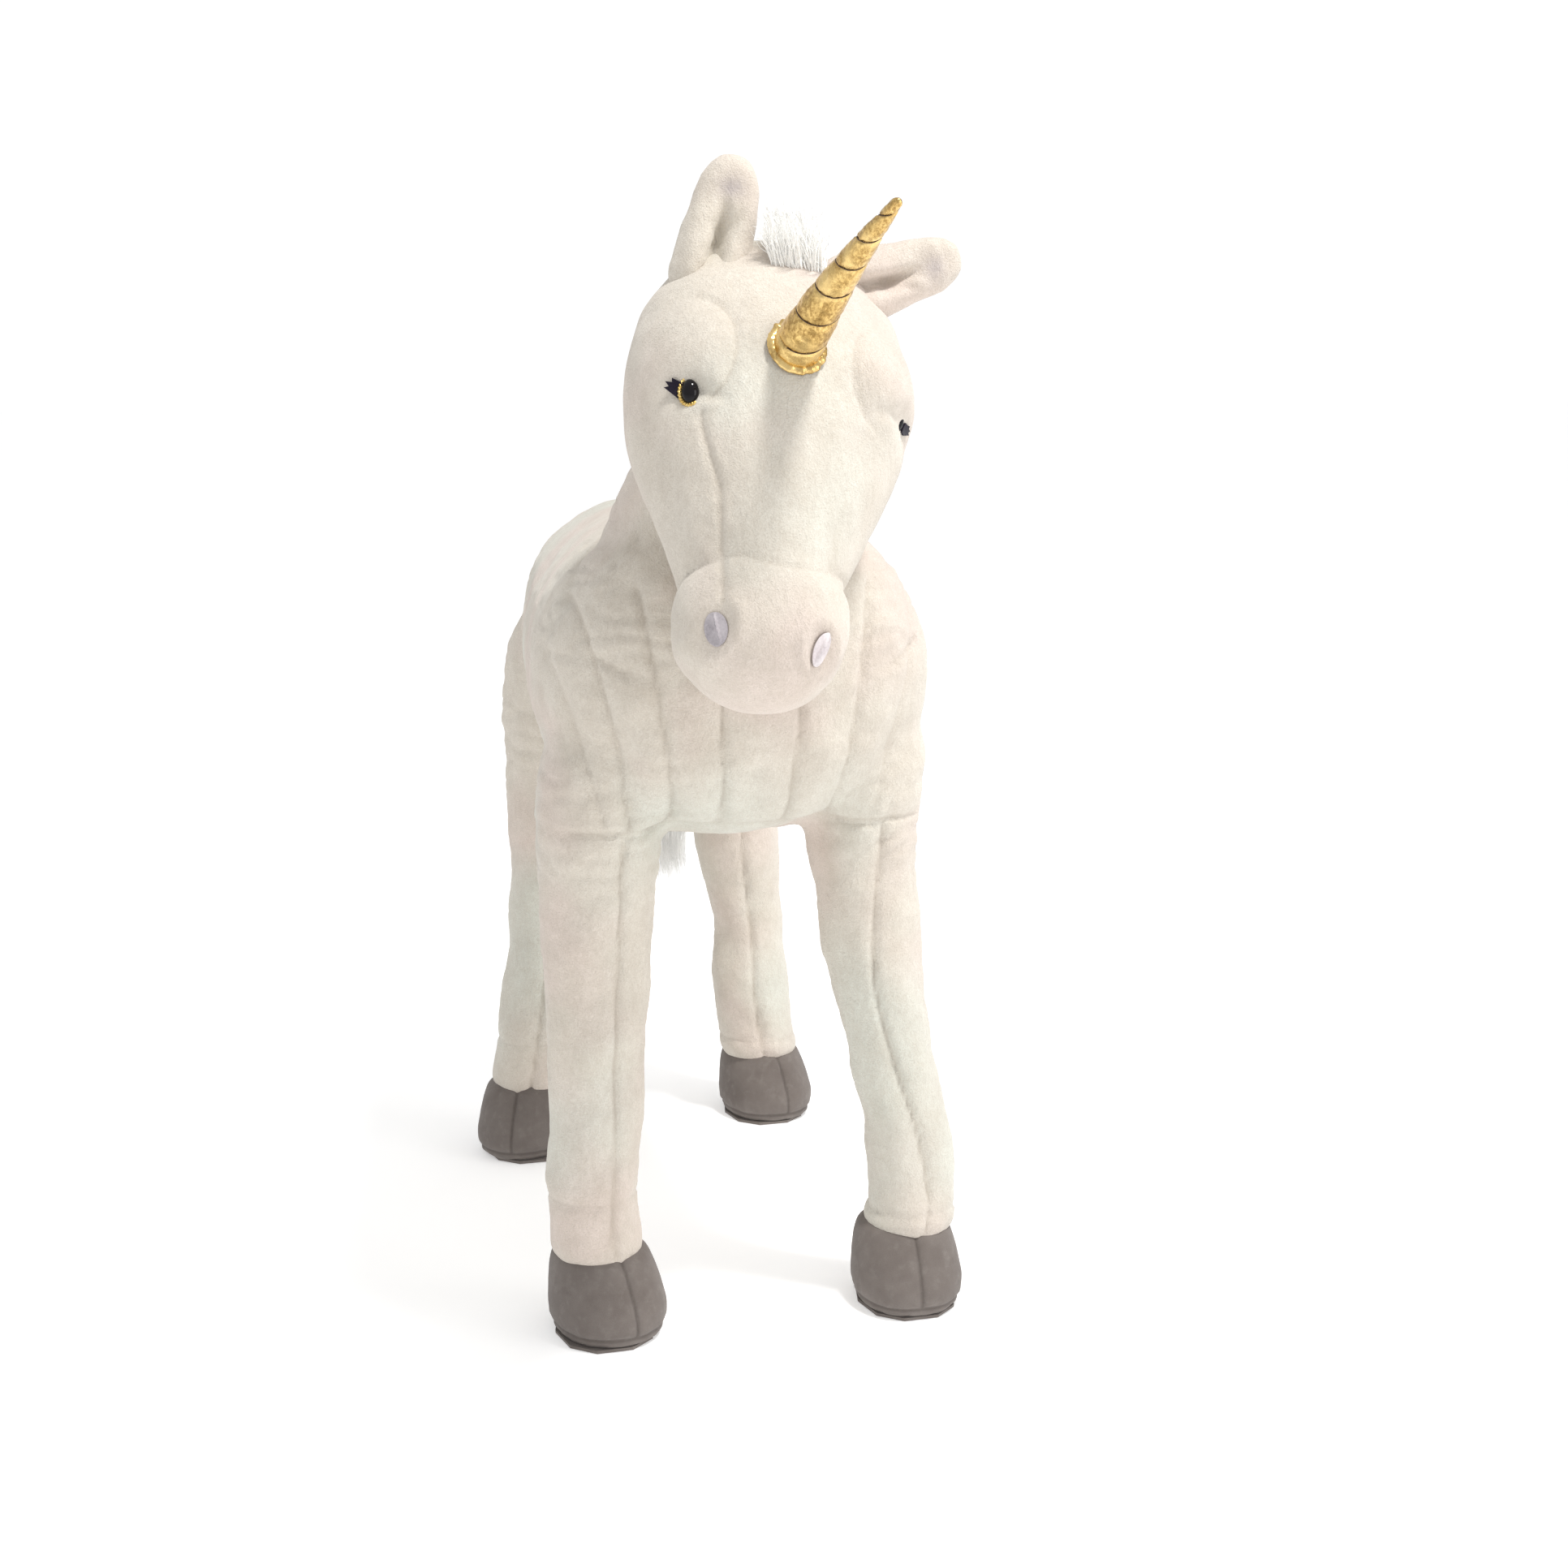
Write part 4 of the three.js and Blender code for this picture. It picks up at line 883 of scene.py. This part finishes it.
for name, (up_to, _, angle) in EYES.items():
    flip = 1 if name == "right" else -1
    place = spot(head, up_to, angle, -0.0012 if name == "right" else 0.0050)
    bpy.ops.object.select_all(action="DESELECT")
    bpy.ops.mesh.primitive_uv_sphere_add(segments=40, ring_count=24, radius=0.0084)
    dome = named(f"{name}_eye_dome", eye_black, "eye_gloss", "head", f"{name}_eye")
    bpy.ops.object.mode_set(mode="EDIT")
    bpy.ops.transform.resize(value=(0.82, 1.17, 0.76))
    bpy.ops.mesh.bisect(plane_co=(0, 0, -0.001), plane_no=(0, 0, 1), clear_inner=True, use_fill=True)
    bpy.ops.mesh.extrude_region_move(TRANSFORM_OT_translate={"value": (0, 0, -0.003)})
    bpy.ops.mesh.inset(thickness=0.005)
    bpy.ops.mesh.extrude_region_move(TRANSFORM_OT_translate={"value": (0, 0, -0.009)})
    bpy.ops.object.mode_set(mode="OBJECT")
    stand(dome, place)

    turns = np.radians(np.linspace(110, 305, 150))
    rings = []
    for i, turn in enumerate(turns):
        way = Vector((math.cos(turn) * flip, math.sin(turn), 0))
        thin = min(1.0, 0.35 + min(i, 149 - i) * 0.12)
        line = Vector((way.x * 0.0083, way.y * 0.0108, 0))
        points = []
        for a in np.linspace(0, 2 * math.pi, 12, endpoint=False):
            round_cord = way * math.cos(a) + Vector((0, 0, 1)) * math.sin(a)
            twist = 1 + 0.24 * math.cos(2 * a - i * 0.55)
            points.append(place @ (line + round_cord * CORD_RADIUS * thin * twist + Vector((0, 0, 0.0012))))
        rings.append(points)
    loft(f"{name}_eye_cord", rings)
    named(f"{name}_eye_cord", gold_cord, "gold_cord", "head", f"{name}_eye_trim")
    bpy.ops.object.shade_smooth()

    bpy.ops.object.select_all(action="DESELECT")
    bpy.ops.mesh.primitive_circle_add(vertices=len(LASH), radius=0.01, fill_type="NGON")
    lash = named(f"{name}_felt_lash", lash_felt, "lash_felt", "head", f"{name}_eyelash")
    for vertex, (x, y) in zip(lash.data.vertices, LASH):
        vertex.co = (x * 0.00086 * flip, y * (0.00090 if name == "right" else 0.0006), 0)
    bpy.ops.object.mode_set(mode="EDIT")
    bpy.ops.mesh.select_all(action="SELECT")
    bpy.ops.mesh.quads_convert_to_tris()
    bpy.ops.mesh.subdivide(number_cuts=3)
    bpy.ops.object.mode_set(mode="OBJECT")
    reach = [abs(v.co.x) for v in lash.data.vertices]
    lay_on(
        lash, place,
        [0.0010 + (0.004 if name == "right" else 0.0) * max(0, far - 0.008) / 0.018 for far in reach]
    )
    finish_with(lash, "SOLIDIFY", thickness=0.0013, offset=0)
    face_out(lash)


# ------------------------------------------------------------------ nostrils
# Ovals of lilac-grey satin set into the muzzle, each with a fold down its middle and small crinkles.
# The right nostril wears this darker copy of the satin: painted shade, for the side turned from the key
# light.
satin = cloth_look(
    "nostril_satin", [(0.43, 0.395, 0.42, 1), (0.29, 0.265, 0.285, 1), (0.56, 0.52, 0.54, 1)], 0.5, 0.3, 0.0,
    (0.32, 0.5), 700.0, 0.0003
)
# The left nostril wears a paler copy of the same satin: painted light, for the side the key light falls on.
lit_satin_copy = cloth_look(
    "nostril_satin_painted_light", [(0.66, 0.60, 0.61, 1), (0.52, 0.46, 0.48, 1), (0.80, 0.76, 0.76, 1)], 0.5, 0.3,
    0.0, (0.36, 0.55), 700.0, 0.0003
)
for name, (up_to, _, angle) in NOSES.items():
    place = spot(head, up_to, angle)
    bpy.ops.object.select_all(action="DESELECT")
    bpy.ops.mesh.primitive_grid_add(x_subdivisions=30, y_subdivisions=30, size=2)
    # Darker satin on the right and paler satin on the left: painted shade and painted light.
    oval = named(
        f"{name}_nostril_satin", satin if name == "right" else lit_satin_copy, "nostril_satin", "head",
        f"{name}_nostril"
    )
    flip = 1 if name == "right" else -1
    lift = []
    for vertex in oval.data.vertices:
        x, y = vertex.co.x, vertex.co.y
        x, y = x * math.sqrt(1 - y * y / 2), y * math.sqrt(1 - x * x / 2)
        far = min(1.0, math.hypot(x, y))
        fold = math.exp(-(((x - 0.10 + 0.18 * y) / 0.16) ** 2)) * (1 - far**3)
        slope = 0.0007 * (1 if x > 0.1 - 0.18 * y else -1) * (1 - far**2)
        crinkle = noise.noise(Vector((x * 4.5, y * 3, flip))) * 0.0006 * (1 - far)
        lift.append(0.0005 + 0.0026 * fold + 2.2 * slope + crinkle + 0.0008 + 0.0022 * (1 - far))
        vertex.co = (
            x * (0.0095 if name == "right" else 0.0068) * flip, y * (0.0128 if name == "right" else 0.0135), 0
        )
    lay_on(oval, place, lift)
    finish_with(oval, "SOLIDIFY", thickness=0.0014, offset=-1)
    finish_with(oval, "SMOOTH", factor=0.4, iterations=2)
    face_out(oval)
    bpy.ops.object.shade_smooth()


# ------------------------------------------------------------------ horn
# A stuffed cone of crinkled gold metallic cloth, bound round by a dark thread that pulls it in, with its foot
# gathered into a frill on the brow.
lame, tree, shader, place = new_material("horn_lame")
glint = pattern(tree, place, 480, 3.0, 0.72, (1.0, 0.5, 0.6))
creases = pattern(tree, place, 120, 3.0, 0.6, (1, 1, 0.6))
worn = pattern(tree, place, 34, 2.0, 0.5)
seam = attribute(tree, "seam")
colour = mix(tree, ramp(tree, glint, 0.38, 0.66), (0.36, 0.215, 0.065, 1), (0.80, 0.56, 0.215, 1))
colour = mix(tree, ramp(tree, worn, 0.46, 0.62, 0.05, 0.8), colour, (0.86, 0.63, 0.27, 1))
# Painted shade: darker in the groove where the thread pulls the cloth in.
colour = mix(tree, ramp(tree, seam, 0.4, 1.0, 0.0, 0.45), colour, (0.16, 0.085, 0.03, 1))
tree.links.new(colour, shader.inputs["Base Color"])
tree.links.new(ramp(tree, glint, 0.3, 0.7, 0.34, 0.17), shader.inputs["Roughness"])
high = node(tree, "ShaderNodeMath", {0: creases, 1: 1.5, 2: glint}, operation="MULTIPLY_ADD").outputs[0]
relief(tree, shader, high, 0.5, 0.0006)
shader.inputs["Metallic"].default_value = 0.9

horn_seat = spot(head, 0.064, 89)
horn_way = (face_turn.to_3x3() @ Vector((0.139, -0.811, 0.569))).normalized()
horn_start = horn_seat.translation - horn_seat.to_3x3() @ Vector((0, 0, 0.005))
horn_side = horn_way.cross(Vector((0, 0, 1))).normalized()
horn_over = horn_side.cross(horn_way).normalized()
HORN_LENGTH, HORN_BANDS = 0.190, 5.3
THREAD_RADIUS = 0.00040


def horn_radius(share):
    return 0.0030 + 0.0165 * (1 - share**1.12)


def on_horn(share, turn, reach):
    bow = horn_over * 0.004 * math.sin(math.pi * share)
    return horn_start + horn_way * HORN_LENGTH * share + bow + (
        horn_side * math.cos(turn) + horn_over * math.sin(turn)
    ) * reach


def band_of(share, turn):
    """How far a point is from the thread, in turns of it."""
    place = (share - 0.07) / 0.87 * HORN_BANDS + turn / (2 * math.pi)
    return abs((place + 0.5) % 1.0 - 0.5)


rings = []
nearness = []
for row in range(190):
    share = row / 189
    tip = 1.0 if share < 0.975 else math.sqrt(max(0.02, 1 - ((share - 0.975) / 0.025) ** 2))
    points = []
    for i in range(64):
        turn = 2 * math.pi * i / 64
        far = band_of(share, turn)
        bound = math.exp(-((far / 0.040) ** 2)) if 0.07 < share < 0.95 else 0.0
        puff = 0.0007 * (1 - (2 * far - 1) ** 2) - 0.0012 * bound
        crinkle = noise.noise(Vector((math.cos(turn) * 2.6, math.sin(turn) * 2.6, share * 46))) * 0.00045
        pull = noise.noise(Vector((turn * 3.0, share * 9, 2))) * 0.0005 * math.exp(-((far / 0.16) ** 2))
        gather = 0.0009 * math.sin(11 * turn) * math.exp(-share / 0.03)
        points.append(on_horn(share, turn, (horn_radius(share) + puff + crinkle + pull + gather) * tip))
        nearness.append(bound)
    rings.append(points)
loft("horn_cone", rings)
horn = named("horn_cone", lame, "horn_gold", "head", "horn_cover", "horn_stuffing")
# How near each point is to the thread groove, read by the material for painted shade.
keep_on(horn, "seam", nearness)
bpy.ops.object.shade_smooth()

dark_thread = cloth_look(
    "horn_thread", [(0.085, 0.045, 0.025, 1), (0.14, 0.08, 0.045, 1), (0.05, 0.03, 0.02, 1)], 0.3, 0.2, 0.0,
    (0.6, 0.9), 2600.0, 0.0003
)
rings = []
count = 420
for i in range(count):
    place = i / (count - 1) * (HORN_BANDS - 0.15) + 0.08
    turn = -2 * math.pi * place
    share = 0.07 + 0.87 * place / HORN_BANDS
    at = on_horn(share, turn, horn_radius(share) - 0.00055)
    out = (horn_side * math.cos(turn) + horn_over * math.sin(turn)).normalized()
    points = []
    for a in np.linspace(0, 2 * math.pi, 7, endpoint=False):
        twist = 1 + 0.2 * math.cos(a * 2 - i * 0.8)
        points.append(at + (out * math.cos(a) + horn_way * math.sin(a)) * THREAD_RADIUS * twist)
    rings.append(points)
loft("horn_winding", rings)
named("horn_winding", dark_thread, "horn_stitch", "head", "horn_thread")
bpy.ops.object.shade_smooth()

bpy.ops.object.select_all(action="DESELECT")
bpy.ops.mesh.primitive_torus_add(
    major_segments=160, minor_segments=14, major_radius=0.0208, minor_radius=0.0032
)
frill = named("horn_frill", lame, "horn_gold", "head", "horn_rim")
for vertex in frill.data.vertices:
    turn = math.atan2(vertex.co.y, vertex.co.x)
    far = math.hypot(vertex.co.x, vertex.co.y)
    outer = (far - 0.0176) / 0.0064
    wave = math.sin(13 * turn + 1.2 * noise.noise(Vector((math.cos(turn) * 2, math.sin(turn) * 2, 3))) * 3)
    ruffle = noise.noise(Vector((math.cos(turn) * 5, math.sin(turn) * 5, 7)))
    far += outer * (0.00045 * wave + 0.0014 * ruffle)
    height = vertex.co.z * 0.55 + 0.00045 * wave * (
        0.3 + 0.7 * outer
    ) + 0.0012 + 0.0018 * (1 - outer) + 0.0006 * ruffle
    vertex.co = (far * math.cos(turn), far * math.sin(turn), height)
stand(frill, horn_seat)


# ------------------------------------------------------------------ forelock, mane and tail
# Long white synthetic fur: a tuft on the crown, a strip up the crest of the neck and a full tail, all in
# locks of fine tapering strands.
fur_white, tree, shader, place = new_material("fur_white")
shade = attribute(tree, "shade")
depth = attribute(tree, "depth")
streaks = pattern(tree, place, 420, 2.0, 0.6, (1, 1, 0.12))
colour = mix(tree, shade, (0.94, 0.93, 0.90, 1), (0.97, 0.97, 0.95, 1))
# Painted shade: each strand darkens towards its root, where the fur shades itself.
colour = mix(tree, ramp(tree, depth, 0.0, 1.0, 0.25, 0.0), colour, (0.78, 0.76, 0.72, 1))
colour = mix(tree, ramp(tree, streaks, 0.35, 0.65, 0.15, 0.0), colour, (0.80, 0.79, 0.76, 1))
tree.links.new(colour, shader.inputs["Base Color"])
tree.links.new(ramp(tree, streaks, 0.3, 0.7, 0.62, 0.45), shader.inputs["Roughness"])
relief(tree, shader, streaks, 0.4, 0.0003)
constants(
    shader,
    ("Specular IOR Level", 0.3),
    ("Sheen Weight", 0.5),
    ("Sheen Roughness", 0.4),
    # Painted light: a faint white glow in the fur, though it is no lamp.
    ("Emission Color", (1.0, 0.99, 0.97, 1)),
    ("Emission Strength", 0.11),
)


def locks(name, roots, ways, lengths, sag, wave, thick, steps, per_lock, seed):
    """One mesh of tapering strands that leave their roots, sag, and draw together in locks."""
    chance = np.random.default_rng(seed)
    count = len(roots)
    share = np.linspace(0, 1, steps)[None, :, None]
    ways = ways / np.linalg.norm(ways, axis=1)[:, None]
    paths = roots[:, None, :] + ways[:, None, :] * lengths[:, None, None] * share
    paths[:, :, 2] -= (sag * lengths)[:, None] * share[:, :, 0] ** 2
    lock = np.arange(count) // per_lock
    swirl = chance.normal(0, 1, (lock.max() + 1, 3))[lock]
    single = chance.normal(0, 1, (count, 3))
    paths += (swirl[:, None, :] * wave + single[:, None, :] * wave * 0.45) * share**1.6
    phase = chance.uniform(0, 6.28, lock.max() + 1)[lock]
    paths += np.sin(share * 7 + phase[:, None, None]) * wave * 0.22 * swirl[:, None, ::-1] * share
    middles = np.zeros((lock.max() + 1, steps, 3))
    np.add.at(middles, lock, paths)
    middles /= np.bincount(lock)[:, None, None]
    paths += (middles[lock] - paths) * 0.55 * share**2
    along = np.gradient(paths, axis=1)
    along /= np.linalg.norm(along, axis=2)[:, :, None]
    side = np.cross(along, chance.normal(0, 1, (count, 1, 3)))
    side /= np.linalg.norm(side, axis=2)[:, :, None]
    other = np.cross(along, side)
    taper = thick * (1 - 0.9 * share**1.5)
    corners = [paths + (side * math.cos(a) + other * math.sin(a)) * taper for a in (0, 2.094, 4.189)]
    points = np.stack(corners, axis=2).reshape(-1, 3)
    faces = []
    for strand in range(count):
        first = strand * steps * 3
        for i in range(steps - 1):
            low = first + i * 3
            for j in range(3):
                k = (j + 1) % 3
                faces.append((low + j, low + k, low + 3 + k, low + 3 + j))
        faces.append((first, first + 2, first + 1))
        faces.append((first + steps * 3 - 3, first + steps * 3 - 2, first + steps * 3 - 1))
    mesh = bpy.data.meshes.new(name)
    mesh.from_pydata(points.tolist(), [], faces)
    made = bpy.data.objects.new(name, mesh)
    bpy.context.collection.objects.link(made)
    tone = np.repeat(chance.uniform(0, 1, count), steps * 3)
    keep_on(made, "shade", tone)
    # How far along each strand a point lies; the material darkens the roots with it as painted shade.
    deep = np.tile(np.repeat(share[0, :, 0], 3), count)
    keep_on(made, "depth", deep)
    choose(made)
    bpy.ops.object.shade_smooth()
    wear(made, fur_white)
    return made


def cast(piece, start, way):
    hit, at, normal, _ = piece.ray_cast(start, way)
    return (at, normal) if hit else (None, None)


chance = random.Random(7)
roots, ways = [], []
while len(roots) < 1100:
    along, angle = chance.uniform(-0.068, -0.022), chance.uniform(70, 99)
    middle = skull @ Vector((0, 0, -along))
    way = (
        skull.to_3x3() @ Vector((math.cos(math.radians(angle)), -0.74 * math.sin(math.radians(angle)), 0))
    ).normalized()
    at, normal = cast(head, middle + way * 0.3, -way)
    if at is None:
        continue
    roots.append(at - normal * 0.002)
    ways.append(
        normal * 0.8 + Vector((-0.35, 0.15, 0.75)) + Vector([chance.gauss(0, 0.16) for _ in range(3)])
    )
lengths = np.array([chance.uniform(0.024, 0.052) for _ in roots])
order = sorted(range(len(roots)), key=lambda i: (round(roots[i].x / 0.008), round(roots[i].y / 0.008)))
roots = np.array([roots[i] for i in order])
forelock = locks(
    "forelock_fur", roots, np.array([ways[i] for i in order]), lengths, 0.25, 0.006, 0.0006, 7, 7, 11
)
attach(forelock, "head")
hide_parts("forelock")

crest = (Vector((-1, 0, 0)).cross(neck_way)).normalized()
if crest.y < 0:
    crest.negate()
roots, ways = [], []
while len(roots) < 1700:
    far, off = chance.uniform(0.030, 0.132), chance.gauss(0, 0.009)
    line = neck_base + neck_way * far + Vector((off, 0, 0))
    at, normal = cast(neck_skin, line + crest * 0.3, -crest)
    if at is None:
        continue
    roots.append(at - normal * 0.002)
    ways.append(
        normal + neck_way * 0.45 + Vector((off * 30, 0, 0)) + Vector(
            [chance.gauss(0, 0.14) for _ in range(3)]
        )
    )
lengths = np.array([chance.uniform(0.036, 0.052) for _ in roots])
order = sorted(range(len(roots)), key=lambda i: (round(roots[i].z / 0.010), round(roots[i].x / 0.010)))
roots = np.array([roots[i] for i in order])
mane = locks("mane_fur", roots, np.array([ways[i] for i in order]), lengths, 0.55, 0.006, 0.0007, 7, 8, 12)
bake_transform(mane)
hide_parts("neck_mane")

tail_base, knot = pivot["tail_lift"], pivot["tail_swing"]
dock_line = [
    tail_base + Vector((0, -0.020, 0.004)), tail_base, tail_base + Vector((0, 0.013, -0.001)),
    tail_base + Vector((0, 0.024, -0.006)), knot, knot + Vector((0, 0.004, -0.008))
]
dock_sizes = [0.013, 0.0165, 0.0140, 0.0125, 0.0125, 0.0060]
rings = []
for i, (at, size) in enumerate(zip(dock_line, dock_sizes)):
    way = dock_line[min(i + 1, 5)] - dock_line[max(i - 1, 0)]
    rings.append(ring(at, way, size, size, sides=24))
dock = merged("tail_dock_skin", [loft("dock_form", rings)], 0.0022, 4)
D = points_of(dock)
sew(
    dock, [(np.abs(D[:, 0] - knot.x), (D[:, 2] < D[:, 2].mean()) * 0.7)], depth=0.0012, width=0.0018,
    pull=0.0006
)
shade_all_smooth(dock)
wear(dock, ivory_plush)
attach(dock, "tail_root")
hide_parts("tail_dock")

spread = np.random.default_rng(5)
count = 2600
turn = spread.uniform(0, 2 * math.pi, count)
turn = turn[np.argsort(turn)]
out = np.sqrt(spread.uniform(0.05, 1, count))
roots = np.array(knot) + np.stack(
    [np.cos(turn) * out * 0.0135, np.sin(turn) * out * 0.0125 + 0.001, 0.004 - out * 0.010], axis=1
)
ways = np.stack(
    [np.cos(turn) * out * 0.110 + 0.095, np.sin(turn) * out * 0.030 + 0.045, np.full(count, -1.0)], axis=1
)
lengths = spread.uniform(0.25, 0.372, count)
tail = locks("tail_fur", roots, ways, lengths, 0.0, 0.0050, 0.0011, 9, 10, 13)
tail_points = points_of(tail)
share = np.clip((knot.z - tail_points[:, 2]) / 0.34, 0, 1)
swell = 1 + 0.65 * np.sin(np.pi * np.clip(share * 1.15, 0, 1)) ** 0.8 - 0.25 * share
for i in range(2):
    middle = knot[i] + (0.012 if i == 0 else 0.018) * share
    tail_points[:, i] = middle + (tail_points[:, i] - middle) * (swell if i == 0 else 1.0)
tail_points[:, 0] += 0.024 * share**1.5
tail_points[:, 1] += 0.006 * share
put_points(tail, tail_points)
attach(tail, "tail")
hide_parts("tail_hair")


# ------------------------------------------------------------------ hidden frame
# Bent steel rod, eyelets and tube inside the stuffing, and the white plastic washers that lock the eyes.
rod_steel = cloth_look(
    "rod_steel", [(0.50, 0.51, 0.53, 1), (0.42, 0.43, 0.45, 1), (0.60, 0.60, 0.61, 1)], 0.5, 0.0, 1.0,
    (0.25, 0.42), 260.0, 0.0001, (1, 1, 0.15)
)
washer_white = cloth_look(
    "washer_white", [(0.78, 0.77, 0.74, 1), (0.74, 0.73, 0.70, 1), (0.82, 0.81, 0.79, 1)], 0.5, 0.0, 0.0,
    (0.42, 0.55), 300.0, 0.0001
)
for name, cad in frame["nodes"].items():
    hidden = rod_steel if "rod" in name or name in (
        "steel_frame", "neck_tube", "head_bracket"
    ) else washer_white if "washer" in name else None
    if hidden:
        cad.data.materials.clear()
        cad.data.materials.append(hidden)


# ------------------------------------------------------------------ studio
# A white sweep with soft light: a broad key high on the right, a wide fill from the left and a glow behind.
choose(trunk_skin)
bpy.ops.mesh.primitive_grid_add(x_subdivisions=8, y_subdivisions=8, size=60, location=(0, 0, -0.0005))
floor = bpy.context.active_object
floor.name = "floor"
bpy.ops.object.transform_apply(location=True)
floor_paint = bpy.data.materials.new("studio_floor")
floor_paint.use_nodes = True
floor_shader = floor_paint.node_tree.nodes["Principled BSDF"]
constants(
    floor_shader,
    ("Base Color", (0.90, 0.90, 0.90, 1)),
    ("Emission Color", (1.0, 1.0, 1.0, 1)),
    ("Emission Strength", 0.34),
    ("Roughness", 0.9),
    ("Specular IOR Level", 0.1),
)
floor.data.materials.append(floor_paint)

world = bpy.data.worlds.new("studio")
world.use_nodes = True
world.node_tree.nodes["Background"].inputs["Color"].default_value = (1.0, 1.0, 1.0, 1)
air = world.node_tree
seen = air.nodes.new("ShaderNodeBackground")
seen.inputs["Color"].default_value = (1.0, 1.0, 1.0, 1)
seen.inputs["Strength"].default_value = 1.05
air.nodes["Background"].inputs["Strength"].default_value = 0.74
choice = air.nodes.new("ShaderNodeMixShader")
air.links.new(air.nodes.new("ShaderNodeLightPath").outputs["Is Camera Ray"], choice.inputs["Fac"])
air.links.new(air.nodes["Background"].outputs[0], choice.inputs[1])
air.links.new(seen.outputs[0], choice.inputs[2])
air.links.new(choice.outputs[0], air.nodes["World Output"].inputs["Surface"])
bpy.context.scene.world = world


def softbox(name, at, towards, size, power, colour):
    light = bpy.data.lights.new(name, "AREA")
    light.energy, light.size, light.color = power, size, colour
    lamp = bpy.data.objects.new(name, light)
    bpy.context.collection.objects.link(lamp)
    lamp.location = at
    lamp.rotation_euler = (Vector(towards) - Vector(at)).to_track_quat("-Z", "Y").to_euler()


middle = (0, -0.1, 0.6)
softbox("key", (0.80, -1.00, 3.4), middle, 0.40, 74, (1.0, 0.985, 0.965))
softbox("fill", (2.6, -2.2, 1.5), middle, 1.8, 26, (1.0, 0.99, 0.98))

camera = bpy.data.cameras.new("camera")
camera.lens, camera.sensor_width = 50, 36
eye = bpy.data.objects.new("camera", camera)
bpy.context.collection.objects.link(eye)
eye.location = ground + Vector((-0.442, -1.996, 0.850))
eye.rotation_euler = (math.radians(90 - 11.3), 0, math.radians(-15))
bpy.context.scene.camera = eye
scene = bpy.context.scene
scene.view_settings.view_transform = "Standard"
